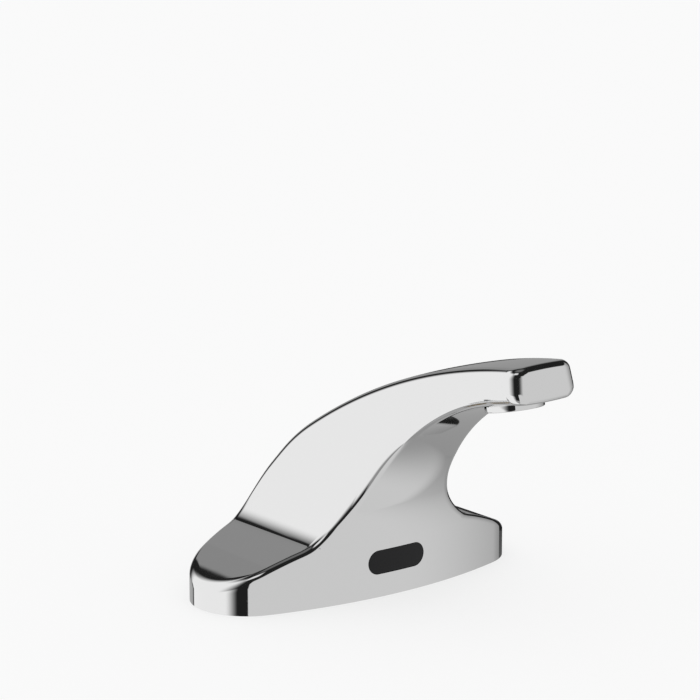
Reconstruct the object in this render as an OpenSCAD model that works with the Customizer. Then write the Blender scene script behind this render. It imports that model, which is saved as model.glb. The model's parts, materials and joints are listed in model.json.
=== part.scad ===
// Deck tap with an infrared sensor: a hollow cast body, a sensor behind a window in its front,
// a pilot valve in the neck, a water tube along the spout and a screwed-in outlet.
// Millimetres. The origin is the middle of the base on the deck, +Z is up, the spout points to -Y.

/* [Base] */
// Width of the base from side to side
base_w = 152.4; // [150:0.1:158]
// Depth of the base from front to back
base_d = 63.5; // [61:0.1:66]
// Radius of the base's round ends, seen from above
base_end_r = 24; // [22:0.5:27]
// Distance between the two mounting studs
stud_pitch = 101.6; // [98:0.1:103]
// Height of both wings at their ends, where one arc over the base comes down
wing_end_h = 10.7; // [9.5:0.1:13]
// Height of the crease where the wings meet the neck
crease_h = 25.1; // [24.5:0.1:27]
// Distance of that crease from the middle
crease_x = 41.5; // [40:0.1:43.5]
// Thickness of the casting's wall
wall = 3; // [2.5:0.1:3.3]
// Radius of the rounded edges of the wings and the neck
edge_r = 2.5; // [1.5:0.1:2.8]

/* [Neck and spout] */
// Radius of the hollow curve on each side of the neck
neck_r = 39.6; // [38:0.1:42]
// Half width of the neck's waist
waist_x = 21.4; // [20.5:0.1:23]
// Angle by which each side of the spout draws in towards the tip
side_taper = 6.5; // [5:0.1:8]
// Height up to which the front face is upright
front_rise = 22; // [21:0.1:23.5]
// Radius of the front face's lower bend
front_low_r = 42; // [39:0.5:45]
// Angle through which that lower bend turns
front_turn = 25.2; // [24:0.1:26.5]
// Radius of the long bend under the spout
front_high_r = 101; // [99:0.5:103]
// Height up to which the back is upright
back_rise = 31.5; // [30:0.1:33]
// Radius of the bend at the top of the back
back_bend_r = 30.8; // [29.5:0.1:32.5]
// Angle through which that bend turns
back_turn = 51.5; // [50:0.1:53]
// Radius of the long top of the neck and spout
top_r = 280.5; // [277:0.5:285]
// Angle at which the spout rises at its tip
tip_tilt = 12; // [11:0.1:13]
// Distance of the outlet's axis in front of the studs
spout_reach = 104; // [101:0.5:106]
// Distance from the outlet's axis to the face of the tip
tip_ahead = 21.4; // [19:0.1:22.5]
// Radius of the spout's two lower edges at the tip
low_edge_r = 4.8; // [3:0.1:5.5]
// Radius of the upright corners of the tip
tip_corner_r = 4.8; // [3:0.1:6]
// Radius of the upper and lower edge of the tip's face
tip_edge_r = 1.6; // [1:0.1:2]

/* [Sensor] */
// Width of the window
window_w = 28.8; // [26:0.1:30]
// Height of the window
window_h = 10; // [9:0.1:10.5]
// Height of the window's middle above the deck
window_z = 14.8; // [14:0.1:15.5]
// Thickness of the circuit board
board_t = 1.6; // [1:0.1:2]
// Diameter of the lamps and of the receiver's lens
lamp_d = 5; // [3:0.1:5.4]

/* [Water way] */
// Outer diameter of the water tube
tube_d = 7; // [6:0.1:7.4]
// Inner diameter of the water tube
tube_bore_d = 5.2; // [4:0.1:5.4]
// Radius of the bend at the foot of the tube
tube_bend_r = 26; // [24:0.5:28]
// Distance from the tube's end back to the outlet's axis
tube_stop = 20; // [19.5:0.1:22]
// Diameter of the outlet thread in the spout
outlet_thread_d = 22; // [21:0.1:22.6]
// Diameter of the outlet ring that shows under the spout
outlet_ring_d = 23.6; // [23.2:0.1:25]
// Height of that ring
outlet_ring_h = 2.4; // [1.8:0.1:3]

/* [Valve] */
// Width of the valve block
valve_w = 34; // [32:0.5:36]
// Depth of the valve block
valve_d = 36.5; // [35.5:0.1:37]
// Height of the valve block
valve_h = 15; // [14:0.1:16]
// Diameter of the valve's seat
seat_d = 6.8; // [5:0.1:7]
// Diameter of the plunger
plunger_d = 7.8; // [7:0.1:8.2]
// Travel of the plunger
plunger_travel = 1.8; // [1:0.1:2]
// Length of the coil between its flanges
coil_l = 12; // [10:0.1:12.4]
// Diameter of the coil
coil_d = 21; // [19:0.1:22]

/* [Mounting] */
// Thickness of the deck that the tap is set up for
deck_t = 20; // [5:1:30]
// Diameter of the mounting studs
stud_d = 8; // [6:0.1:8]
// Length of the studs below the deck's top
stud_drop = 55; // [50:1:70]
// Diameter of the stud washers
stud_washer_d = 24; // [20:0.5:28]
// Width across the flats of the stud nuts
stud_nut_af = 13; // [12:0.5:15]
// Diameter of the inlet shank's thread
shank_d = 20.8; // [19:0.1:21]
// Bore of the inlet shank
shank_bore_d = 10; // [8:0.1:10.4]
// Length of the shank below the deck's top
shank_drop = 60; // [56:1:75]
// Diameter of the shank washer
shank_washer_d = 34; // [30:0.5:38]
// Width across the flats of the shank nut
shank_nut_af = 27; // [26:0.5:30]
// Thickness of the deck gasket
gasket_t = 2; // [1.9:0.1:2.5]
// Thickness of the base plate
plate_t = 2; // [1.5:0.1:2.5]

/* [Hidden] */
$fn = 96;
wide_fn = 720;
overrun = 1;
gap = 0.1;
fit_gap = 0.05;

// Plan of the base: two wide arcs joined by two round ends that they touch
half_w = base_w / 2;
half_d = base_d / 2;
end_x = half_w - base_end_r;
face_r = (end_x * end_x + half_d * half_d - base_end_r * base_end_r) / (base_d - 2 * base_end_r);
face_pivot = face_r - half_d;
end_turn = asin(end_x / (face_r - base_end_r));

// Steps of the casting's loops
face_steps = 6;
edge_steps = 3;
side_steps = 12;
low_steps = 7;
high_steps = 18;

// Sides and steps of the water tube
tube_sides = 24;
bend_steps = 9;
arc_steps = 10;

// Outline seen from the front: wing arc, neck curves and tapered sides
wing_fall = crease_h - wing_end_h;
wing_top_z = (crease_h + wing_end_h - (half_w * half_w - crease_x * crease_x) / wing_fall) / 2;
wing_top_r = norm([crease_x, crease_h - wing_top_z]);
neck_x = waist_x + neck_r;
neck_z = crease_h + sqrt(neck_r * neck_r - (neck_x - crease_x) * (neck_x - crease_x));
joint_z = neck_z - neck_r * sin(side_taper);
joint_x = neck_x - neck_r * cos(side_taper);
neck_room = joint_x - 1.1 * wall;

// Side view, front: upright, lower bend, long bend, then straight under the tip
low_c = [half_d + front_low_r, front_rise];
turn_p = low_c + front_low_r * [-cos(front_turn), sin(front_turn)];
high_c = turn_p + front_high_r * [cos(front_turn), -sin(front_turn)];
lip_p = high_c + front_high_r * [-sin(tip_tilt), cos(tip_tilt)];

// Side view, back: upright, bend, then the long top
bend_c = [half_d - back_bend_r, back_rise];
top_c = bend_c - (top_r - back_bend_r) * [cos(back_turn), sin(back_turn)];

// The outlet, on its seat under the spout
outlet_z = lip_p[1] + (spout_reach - lip_p[0]) * tan(tip_tilt);
reach_all = spout_reach + tip_ahead + tip_ahead;
height_all = outlet_z + tip_ahead + tip_ahead;
block = 2 * (reach_all + height_all);

// Water tube: upright, a bend, then an arc that keeps its distance from the long top
tube_r = tube_d / 2;
tube_room = 1.5;
tube_back = 5.75;
tube_y = half_d - wall - tube_r - tube_back;
tube_arc_r = top_r - wall - tube_room - tube_r;
tube_bend_c = [tube_y - tube_bend_r,
    top_c[1] + sqrt(pow(tube_arc_r - tube_bend_r, 2) - pow(tube_y - tube_bend_r - top_c[0], 2))];
tube_turn = atan2(tube_bend_c[1] - top_c[1], tube_bend_c[0] - top_c[0]);
tube_end_turn = acos((tube_stop - spout_reach - top_c[0]) / tube_arc_r);
tube_end = top_c + tube_arc_r * [cos(tube_end_turn), sin(tube_end_turn)];

// Bush and rings round the tube's ends
bush_r = 5.3;
bush_in = 6;
bush_out = 3;
ring_wire_r = 0.6;
tube_slack = 0.15;
ring_r = tube_r + ring_wire_r + tube_slack;
ring_seat_r = ring_r + ring_wire_r + fit_gap;
ring_seat_h = 2 * (ring_wire_r + fit_gap);

// Outlet thread, water chamber and insert
thread_r = outlet_thread_d / 2;
thread_h = 7.4;
chamber_r = thread_r - 1.6;
chamber_h = 4.4;
port_r = 2.4;
seat_edge = 0.4;
insert_r = thread_r - 1.7;
lip_h = outlet_ring_h / 2;
lip_r = insert_r - 1;
washer_t = 1.4;
cage_h = 3.6;
cage_wall = 0.8;
screen_t = 0.3;
screen_rise = [1, 2.2];
regulator_h = thread_h - washer_t - cage_h - fit_gap;
honey_af = 1.5;
honey_pitch = 1.9;

// Floor of the tap
plate_top = gasket_t + plate_t;
skirt_gap = 0.4;
lug_r = 4;
lug_screw_r = 1.5;
lug_screw_l = 9;
lug_head_r = 3;
lug_head_h = 1.5;
lug_gap = 0.6;
lug_x = crease_x - lug_r - lug_gap;
lug_y = sqrt(pow(face_r - wall - lug_head_r - lug_gap, 2) - lug_x * lug_x) - face_pivot;
boss_r = 7.5;
boss_h = 11;
thread_cut = 0.1;
stud_shoulder = 1.5;
stud_r = stud_d / 2;
stud_thread_r = stud_r - thread_cut;
stud_hole_r = stud_r + 0.5;
stud_washer_t = 1.6;
stud_nut_h = 6.5;
shank_r = shank_d / 2;
shank_hole_r = shank_r + 0.5;
shank_washer_t = 2;
shank_nut_h = 6;
shank_tail = 22;
shank_tail_r = shank_r - 0.2;
grommet_x = -26;
grommet_y = 4;
grommet_r = 5;
grommet_lip = 1.2;
grommet_bore_r = 2;

// Valve stack, from the shank's collar up
valve_y = 3;
valve_front = -11;
collar_r = 12;
collar_h = 3;
valve_z = plate_top + collar_h;
valve_top = valve_z + valve_h;
corner_r = 3;
spigot_r = 7.4;
spigot_h = 4.2;
inlet_h = 5;
inlet_ring_r = spigot_r - 0.85;
inlet_ring_wire_r = 0.8;
feed_x = 6;
feed_r = 1.4;
ring_out_r = 9.6;
ring_in_r = 5.4;
ring_h = 4.5;
seat_drop = 0.6;
seat_floor = 1.5;
cross_r = 2.3;
cross_rise = 3;
socket_h = 7;
membrane_r = 12.5;
membrane_t = 1;
poppet_r = 4.6;
poppet_flange_r = 6.5;
poppet_flange_h = 1;
poppet_h = 3.5;
pilot_r = 0.6;
poppet_ratio = 2 / 3;
bonnet_w = 28;
bonnet_d = 22;
bonnet_h = 5.2;
bonnet_room_r = 9;
bonnet_room_h = 3.9;
bonnet_screw_x = bonnet_w / 2 - 2.5;
bonnet_screw_y = bonnet_d / 2 - 2.5;
bonnet_screw_r = 1.5;
bonnet_head_r = 2.4;
bonnet_head_h = 1.8;
bonnet_screw_l = 13;

plunger_r = plunger_d / 2;
seal_r = 2;
seal_h = 2;
plunger_l = 10.5;
spring_r = 2.1;
spring_wire = 0.5;
spring_depth = 6.5;
core_bore_r = plunger_r + gap / 2;
core_r = core_bore_r + 0.6;
core_flange_r = core_r + 2.6;
core_flange_h = 1.2;
poppet_z = valve_top - seat_drop + fit_gap;
seal_z = poppet_z + poppet_h + fit_gap;
plunger_z = seal_z + seal_h;
stop_z = plunger_z + plunger_l + plunger_travel;
bonnet_z = valve_top + membrane_t;
core_z = bonnet_z + bonnet_h - core_flange_h;
yoke_t = 1;
yoke_z = bonnet_z + bonnet_h;
coil_flange_t = 1;
bobbin_z = yoke_z + yoke_t + gap;
bobbin_h = coil_l + 2 * coil_flange_t;
bobbin_wall = 1.2;
yoke_top_z = bobbin_z + bobbin_h + gap;
yoke_half_d = 5.5;
yoke_x = coil_d / 2 + 1.2;
clip_t = 1;
clip_r = core_r + 1.6;
core_top = yoke_top_z + yoke_t + clip_t + 1.2;

// Sensor, behind the window
window_back = 0.1;
window_gap = 0.1;
pocket_y = half_d - 0.95 * wall;
seal_t = 0.8;
flange_edge = 1.5;
flange_t = 1.2;
flange_y = pocket_y - seal_t;
case_w = 33.2;
case_h = 17.2;
case_l = 11.8;
case_wall = 1.4;
case_y = flange_y - flange_t - gap;
case_z = window_z - case_h / 2;
board_back = 3;
board_y = case_y - case_l + case_wall + board_back;
lamp_x = 9;
lamp_r = lamp_d / 2;
divider_x = 4.6;
divider_t = 1;
strap_t = 1.2;
strap_h = 8;
strap_gap = 0.3;
strap_x = case_w / 2 + strap_gap;
strap_foot = 8.4;
strap_rise = 7;
post_r = 3.2;
post_x = strap_x + 5.4;
post_y = case_y - case_l - strap_gap + strap_rise;
post_screw_r = 1.25;
post_head_r = 2.6;
post_head_h = 2;
post_screw_l = 5;
boot_z = case_z + 2.6;
boot_l = 6;
boot_r = 1.9;

metal = "silver";
brass = "goldenrod";
steel = "lightsteelblue";
black = "dimgray";

// Plan of the base, drawn in by t on every side
module plan_oval(t = 0) {
    lane = (face_r - t) * sin(end_turn);
    intersection() {
        union() {
            square([2 * lane, base_d], center = true);
            for (side = [-1, 1]) translate([side * end_x, 0]) circle(r = base_end_r - t);
        }
        translate([0, face_pivot]) circle(r = face_r - t, $fn = wide_fn);
        translate([0, -face_pivot]) circle(r = face_r - t, $fn = wide_fn);
    }
}

// Outline of the wings and the neck from the front, drawn in by t
module front_outline(t = 0) {
    joint = [neck_x - (neck_r + t) * cos(side_taper), neck_z - (neck_r + t) * sin(side_taper)];
    intersection() {
        translate([0, wing_top_z]) circle(r = wing_top_r - t, $fn = wide_fn);
        translate([-base_w, -3 * overrun]) square([2 * base_w, base_w]);
    }
    difference() {
        translate([-crease_x, -3 * overrun]) square([2 * crease_x, joint[1] + 3 * overrun]);
        for (side = [-1, 1]) translate([side * neck_x, neck_z]) circle(r = neck_r + t);
    }
}

// Side view, drawn in by t, with +X to the back: what lies behind the front and under the top
module side_view(t = 0) {
    lip = high_c + (front_high_r + t) * [-sin(tip_tilt), cos(tip_tilt)];
    turn = low_c + (front_low_r + t) * [-cos(front_turn), sin(front_turn)];
    end = lip + reach_all * [cos(tip_tilt), sin(tip_tilt)];
    back = top_c + (top_r - t) * [cos(back_turn), sin(back_turn)];
    foot = [top_c[0] - (top_c[1] + 2 * overrun) / tan(back_turn), -2 * overrun];
    head = [top_c[0] + (block - top_c[1]) / tan(back_turn), block];
    difference() {
        union() {
            polygon([foot, [half_d - t, foot[1]], [half_d - t, back_rise], back]);
            translate(bend_c) circle(r = back_bend_r - t);
            intersection() {
                translate(top_c) circle(r = top_r - t, $fn = wide_fn);
                polygon([[-block, foot[1]], foot, head, [-block, block]]);
            }
        }
        mirror([1, 0]) {
            polygon([[half_d - t, -3 * overrun], [half_d - t, front_rise], turn, lip, end,
                [block, end[1]], [block, -3 * overrun]]);
            translate(low_c) circle(r = front_low_r + t);
            intersection() {
                translate(high_c) circle(r = front_high_r + t, $fn = wide_fn);
                polygon([high_c, high_c + block * [-cos(front_turn), sin(front_turn)],
                    high_c + [-block, block], high_c + [0, block]]);
            }
        }
    }
}

// Places its children at the outlet: local +Z is up along the outlet's axis, -Y points to the tip
module at_outlet() {
    translate([0, -spout_reach, outlet_z]) rotate([-tip_tilt, 0, 0]) children();
}

// Places its children at the water tube's end: -Y points the way that the water leaves
module at_tube_end() {
    translate([0, tube_end[0], tube_end[1]]) rotate([tube_end_turn - 90, 0, 0]) children();
}

// Depth of the wide arc of the face at a distance x from the middle
function sag(x) = face_r - sqrt(face_r * face_r - x * x);

// Height of the wing tops, and half width of the neck and spout
function wing_z(x) = wing_top_z + sqrt(wing_top_r * wing_top_r - x * x);
function side_x(z) = z < joint_z ? neck_x - sqrt(neck_r * neck_r - pow(neck_z - z, 2))
    : joint_x - (z - joint_z) * tan(side_taper);

// Distance s along the plan's right half from the point at x = from on the wide front arc:
// gives [x, y, and the direction that the wall faces]
from_turn = asin((crease_x - edge_r) / face_r);
wide_l = (end_turn - from_turn) * PI / 180 * face_r;
round_l = end_turn < 90 ? (180 - 2 * end_turn) * PI / 180 * base_end_r : 0;
plan_l = 2 * wide_l + round_l;
function plan_at(s) =
    s < wide_l ? wide_at(from_turn + s / face_r * 180 / PI)
    : s > wide_l + round_l ? back_of(wide_at(from_turn + (plan_l - s) / face_r * 180 / PI))
    : round_at(end_turn - 90 + (s - wide_l) / base_end_r * 180 / PI);
function wide_at(a) = [face_r * sin(a), face_pivot - face_r * cos(a), a - 90];
function round_at(a) = [end_x + base_end_r * cos(a), base_end_r * sin(a), a];
function back_of(p) = [p[0], -p[1], -p[2]];

// Where a line from point c in direction d leaves the circle of radius r round o
function leave(c, d, o, r) = c + d * (sqrt(pow((c - o) * d, 2) - (c - o) * (c - o) + r * r) - (c - o) * d);

// Stations from the crease to the tip: each is a pair of side-view points, on the front and on the back
// (x is the distance in front of the middle)
top_u = [-top_c[0], top_c[1]];
bend_u = [-bend_c[0], bend_c[1]];
crease_turn = asin((crease_h - front_rise) / front_low_r);
up_l = back_rise - crease_h;
bend_l = back_turn * PI / 180 * back_bend_r;
function up_back(l) = l < up_l ? [-half_d, crease_h + l]
    : bend_u + back_bend_r * [-cos((l - up_l) / back_bend_r * 180 / PI), sin((l - up_l) / back_bend_r * 180 / PI)];
function low_station(k) = let(a = crease_turn + (front_turn - crease_turn) * k / low_steps)
    [low_c + front_low_r * [-cos(a), sin(a)], up_back((up_l + bend_l) * k / low_steps)];
function high_station(k) = let(a = front_turn + (90 - tip_tilt - front_turn) * k / high_steps, d = [-cos(a), sin(a)])
    [high_c + front_high_r * d, leave(high_c, d, top_u, top_r)];
function tip_station(l) = let(f = [spout_reach, outlet_z] + l * [cos(tip_tilt), sin(tip_tilt)])
    [f, leave(f, [-sin(tip_tilt), cos(tip_tilt)], top_u, top_r)];
tip_from = (lip_p[0] - spout_reach) / cos(tip_tilt);
tip_flat = tip_ahead - tip_corner_r;

// Radius of the lower edges at share q of the way from the lower bend to the tip
function low_edge_at(q) = edge_r + (low_edge_r - edge_r) * q * (2 - q);

// One closed loop of the neck or spout through a station: e is the radius of its front or lower edges,
// and it is drawn in by t on its faces and by side_in on its sides
function loop(st, e, t = 0, side_in = 0) =
    let(span = norm(st[1] - st[0]), dir = (st[1] - st[0]) / span,
        at = function(x, d) [x, -(st[0][0] + dir[0] * d), st[0][1] + dir[1] * d],
        wide = function(d) side_x(st[0][1] + dir[1] * d) - side_in,
        f = max(e - t, e / 8), g = max(edge_r - t, edge_r / 8),
        wf = wide(f) - f, wb = wide(span - g) - g, low = t + sag(wf) + f, top = span - t - sag(wb) - g,
        half = [
            for (k = [0 : face_steps]) let(x = wf * k / face_steps) at(x, t + sag(x)),
            for (k = [1 : edge_steps]) let(a = 90 * k / edge_steps)
                at(wf + f * sin(a), low - f * cos(a)),
            for (k = [1 : side_steps - 1]) let(d = low + (top - low) * k / side_steps) at(wide(d), d),
            for (k = [0 : edge_steps]) let(a = 90 * k / edge_steps)
                at(wb + g * cos(a), top + g * sin(a)),
            for (k = [1 : face_steps]) let(x = wb * (1 - k / face_steps)) at(x, span - t - sag(x))
        ])
    both_halves(half);
function both_halves(half) = concat(half,
    [for (k = [len(half) - 2 : -1 : 1]) [-half[k][0], half[k][1], half[k][2]]]);

// Loops of the base: the wall, then the rounded edge of the wing tops at angle a
ends_n = 2 * edge_steps + side_steps;
function wing_share(k) = min(1, max(0, min(k, ends_n - k) / edge_steps));
function base_loop(z, a) = both_halves([
    for (k = [0 : face_steps]) base_point(wide_at(from_turn * k / face_steps), z, a, 0),
    for (k = [1 : ends_n - 1]) base_point(plan_at(plan_l * k / ends_n), z, a, wing_share(k)),
    for (k = [face_steps : -1 : 0]) base_point(back_of(wide_at(from_turn * k / face_steps)), z, a, 0)
]);
function base_point(p, z, a, share) =
    let(in = share * edge_r * (1 - cos(a)), x = p[0] - in * cos(p[2]),
        top = p[0] > crease_x ? wing_z(x) : crease_h)
    [x, p[1] - in * sin(p[2]), z == 0 ? 0 : top - edge_r * (1 - sin(a))];

// Loops between the wing tops' rounded edge and the crease
function wing_loop(q) = let(outer = base_loop(1, 90), inner = loop(low_station(0), edge_r))
    [for (k = [0 : len(outer) - 1]) let(p = outer[k] + (inner[k] - outer[k]) * q)
        abs(outer[k][0]) > crease_x && abs(inner[k][0]) >= crease_x - gap
            ? [p[0], p[1], wing_z(p[0])] : p];

// Loops round the tip: a goes from the straight sides at 0 to the face at 90
function tip_loop(a) =
    let(short = tip_corner_r * (1 - sin(a)), b = asin(max(0, 1 - short / tip_edge_r)))
    loop(tip_station(tip_ahead - short), low_edge_r, tip_edge_r * (1 - cos(b)), tip_corner_r * (1 - cos(a)));

skin_loops = [
    base_loop(0, 0), for (a = [0 : 30 : 90]) base_loop(1, a),
    wing_loop(1 / 3), wing_loop(2 / 3),
    for (k = [0 : low_steps - 1]) loop(low_station(k), edge_r),
    for (k = [0 : high_steps - 1]) loop(high_station(k), low_edge_at(k / high_steps)),
    for (q = [0 : 0.5 : 0.5]) loop(tip_station(tip_from + (tip_flat - tip_from) * q), low_edge_r),
    for (a = [0 : 18 : 90]) tip_loop(a)
];

// Triangles that join each loop of n points with the next one, in so many rows, out of m loops
function side_faces(n, rows, m) = [
    for (j = [0 : rows - 1], k = [0 : n - 1])
        let(p = j * n + k, q = j * n + (k + 1) % n, up = (p + n) % (m * n), over = (q + n) % (m * n))
            each [[p, up, over], [p, over, q]]
];

// The outside of the casting: its loops joined, and closed flat at the deck and at the tip
module body_skin() {
    n = len(skin_loops[0]);
    m = len(skin_loops);
    polyhedron(points = [for (l = skin_loops) each l], convexity = 8, faces = concat(
        [[for (k = [0 : n - 1]) k], [for (k = [n - 1 : -1 : 0]) (m - 1) * n + k]],
        side_faces(n, m - 1, m)));
}

// Corner of the room in the neck at height z: its sides keep to the taper of the neck's
function room_at(z, side) = [side * (neck_room - (z - joint_z) * tan(side_taper)), z];

// Open space inside the casting: the floor and the foot of the neck, then the neck up to the outlet's boss
module body_cavity() {
    difference() {
        union() {
            intersection() {
                translate([0, base_d, 0]) rotate([90, 0, 0]) linear_extrude(height = 2 * base_d)
                    front_outline(wall);
                translate([0, 0, -overrun]) linear_extrude(height = back_rise + wall + overrun)
                    plan_oval(wall);
            }
            intersection() {
                translate([-base_w, 0, 0]) rotate([90, 0, 90]) linear_extrude(height = 2 * base_w)
                    side_view(wall + sag(neck_room));
                translate([0, base_d, 0]) rotate([90, 0, 0]) linear_extrude(height = block)
                    polygon([room_at(plate_top, 1), room_at(plate_top, -1),
                        room_at(height_all, -1), room_at(height_all, 1)]);
                at_tube_end() translate([-block, bush_in, -block]) cube(2 * block);
            }
        }
        both_studs() translate([0, 0, plate_top]) rod(boss_r, height_all);
        four_lugs() translate([0, 0, plate_top]) rod(lug_r, height_all);
        both_posts() rod(post_r, half_d);
    }
}

module rod(r, h) cylinder(r = r, h = h);

module ring(r_out, r_in, h) {
    difference() {
        rod(r_out, h);
        translate([0, 0, -overrun]) rod(r_in, h + 2 * overrun);
    }
}

module torus(r, wire_r) rotate_extrude() translate([r, 0]) circle(r = wire_r, $fn = 32);

module hex_nut(af, r_in, h) {
    difference() {
        cylinder(d = af / cos(30), h = h, $fn = 6);
        translate([0, 0, -overrun]) rod(r_in, h + 2 * overrun);
    }
}

module rounded_plate(w, d, h, r) {
    linear_extrude(height = h) {
        square([w - 2 * r, d], center = true);
        square([w, d - 2 * r], center = true);
        for (x = [-1, 1], y = [-1, 1]) translate([x * (w / 2 - r), y * (d / 2 - r)]) circle(r = r);
    }
}

// A flat oval with round ends, standing in the front face and reaching back from distance y_front
module oval_plug(w, h, y_front, l) {
    translate([0, -y_front + l, window_z]) rotate([90, 0, 0]) linear_extrude(height = l) {
        square([w - h, h], center = true);
        for (side = [-1, 1]) translate([side * (w - h) / 2, 0]) circle(r = h / 2);
    }
}

module both_studs() for (side = [-1, 1]) translate([side * stud_pitch / 2, 0, 0]) children();

module four_lugs() for (x = [-1, 1], y = [-1, 1]) translate([x * lug_x, y * lug_y, 0]) children();

module both_posts() for (side = [-1, 1])
    translate([side * post_x, -post_y, window_z]) rotate([90, 0, 0]) children();

module four_bonnet_screws() for (x = [-1, 1], y = [-1, 1])
    translate([x * bonnet_screw_x, valve_y + y * bonnet_screw_y, 0]) children();

module on_valve(z) translate([0, valve_y, z]) children();

module body_casting() color(metal) difference() {
    body_skin();
    body_cavity();
    both_studs() translate([0, 0, plate_top - overrun])
        rod(stud_thread_r + fit_gap, boss_h + overrun);
    four_lugs() translate([0, 0, plate_top - overrun])
        rod(lug_screw_r + fit_gap, lug_screw_l + overrun);
    both_posts() translate([0, 0, -overrun])
        rod(post_screw_r + fit_gap, post_screw_l + overrun);
    oval_plug(window_w + 2 * window_gap, window_h + 2 * window_gap, half_d + overrun, half_d / 2);
    oval_plug(window_w + 2 * (flange_edge + window_gap), window_h + 2 * (flange_edge + window_gap),
        pocket_y, wall);
    at_outlet() {
        translate([0, 0, -outlet_ring_h - overrun])
            rod(outlet_ring_d / 2 + seat_edge, outlet_ring_h + overrun);
        translate([0, 0, -overrun]) rod(thread_r, thread_h + overrun);
        rod(chamber_r, thread_h + chamber_h);
    }
    at_tube_end() {
        translate([0, bush_in + overrun, 0]) rotate([90, 0, 0])
            rod(bush_r + fit_gap, bush_in + bush_out + overrun);
        rotate([90, 0, 0]) rod(port_r, tube_stop - chamber_r / 2);
    }
}

module sensor_window() color(black) union() {
    intersection() {
        oval_plug(window_w, window_h, half_d + overrun, half_d + overrun - flange_y);
        translate([0, face_pivot, 0]) cylinder(r = face_r - window_back, h = crease_h, $fn = wide_fn);
    }
    oval_plug(window_w + 2 * flange_edge, window_h + 2 * flange_edge, flange_y, flange_t);
}

module window_gasket() color(black) difference() {
    oval_plug(window_w + 2 * flange_edge, window_h + 2 * flange_edge, pocket_y, seal_t);
    oval_plug(window_w + 2 * window_gap, window_h + 2 * window_gap, pocket_y + overrun,
        seal_t + 2 * overrun);
}

module sensor_housing() color("black") difference() {
    translate([-case_w / 2, -case_y, case_z]) cube([case_w, case_l, case_h]);
    translate([-case_w / 2 + case_wall, -case_y - overrun, case_z + case_wall])
        cube([case_w - 2 * case_wall, case_l - case_wall + overrun, case_h - 2 * case_wall]);
    translate([-case_w / 2 - overrun, -board_y + board_t + lamp_r / 2, boot_z]) rotate([0, 90, 0])
        rod(boot_r / 2 + fit_gap, case_wall + 2 * overrun);
}

module circuit_board() color("darkgreen")
    translate([-case_w / 2 + case_wall + gap, -board_y, case_z + case_wall + gap])
        cube([case_w - 2 * (case_wall + gap), board_t, case_h - 2 * (case_wall + gap)]);

// A lamp or lens that stands on the board and looks forward
module board_lamp(x) {
    translate([x, -board_y, window_z]) rotate([90, 0, 0]) {
        stem = board_y + lamp_r + 2 * gap;
        rod(lamp_r, case_y - stem);
        translate([0, 0, case_y - stem]) sphere(r = lamp_r);
    }
}

module infrared_emitters() color("lavender") for (side = [-1, 1]) board_lamp(side * lamp_x);

module infrared_receiver() color("darkslateblue") board_lamp(0);

module light_divider() color("black") {
    depth = case_y - board_y - gap;
    for (side = [-1, 1])
        translate([side * divider_x - divider_t / 2, -case_y + gap, case_z + case_wall + gap])
            cube([divider_t, depth - gap, case_h - 2 * (case_wall + gap)]);
    translate([-divider_x, -case_y + gap, case_z + case_wall + gap])
        cube([2 * divider_x, depth - gap, divider_t]);
}

module cable_boot() color("black")
    translate([-case_w / 2 + case_wall, -board_y + board_t + lamp_r / 2, boot_z]) rotate([0, -90, 0])
        difference() {
            union() {
                rod(boot_r / 2, case_wall);
                translate([0, 0, case_wall]) cylinder(r1 = boot_r, r2 = boot_r / 2, h = boot_l);
            }
            translate([0, 0, -overrun]) rod(boot_r / 3, boot_l + case_wall + 2 * overrun);
        }

module sensor_bracket() color(steel) {
    rear = case_y - case_l - strap_gap;
    low = window_z - strap_h / 2;
    translate([-strap_x - strap_t, -rear, low]) cube([2 * (strap_x + strap_t), strap_t, strap_h]);
    for (side = [-1, 1]) {
        translate([side * (strap_x + strap_t / 2) - strap_t / 2, -rear - strap_rise, low])
            cube([strap_t, strap_rise + strap_t, strap_h]);
        difference() {
            translate([side * (strap_x + strap_foot / 2) - strap_foot / 2, -rear - strap_rise, low])
                cube([strap_foot, strap_t, strap_h]);
            translate([side * post_x, -rear, window_z]) rotate([90, 0, 0])
                rod(post_screw_r + gap, strap_rise + overrun);
        }
    }
}

module bracket_screws() color(steel) both_posts() {
    translate([0, 0, -strap_t - post_head_h]) rod(post_head_r, post_head_h);
    translate([0, 0, -strap_t - gap]) rod(post_screw_r, post_screw_l + strap_t);
}

// Stations of the tube from its foot to its end: [y, z, angle that it has leant forward by]
tube_path = [
    [tube_y, valve_top - socket_h, 0],
    for (k = [0 : bend_steps]) let(a = tube_turn * k / bend_steps)
        [each tube_bend_c + tube_bend_r * [cos(a), sin(a)], a],
    for (k = [1 : arc_steps]) let(a = tube_turn + (tube_end_turn - tube_turn) * k / arc_steps)
        [each top_c + tube_arc_r * [cos(a), sin(a)], a]
];
function tube_loop(p, r) = [for (k = [0 : tube_sides - 1]) let(a = 360 * k / tube_sides)
    [r * cos(a), p[0] + r * sin(a) * cos(p[2]), p[1] + r * sin(a) * sin(p[2])]];

// The tube's outer wall goes up its stations and its bore comes back down
module water_tube() color("peru") {
    m = len(tube_path);
    loops = concat([for (p = tube_path) tube_loop(p, tube_r)],
        [for (k = [m - 1 : -1 : 0]) tube_loop(tube_path[k], tube_bore_d / 2)]);
    polyhedron(points = [for (l = loops) each l], faces = side_faces(tube_sides, 2 * m, 2 * m),
        convexity = 8);
}

module tube_o_rings() color(black) {
    translate([0, tube_y, valve_top - ring_seat_h / 2]) torus(ring_r, ring_wire_r);
    at_tube_end() translate([0, bush_in - ring_seat_h / 2, 0]) rotate([90, 0, 0])
        torus(ring_r, ring_wire_r);
}

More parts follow.
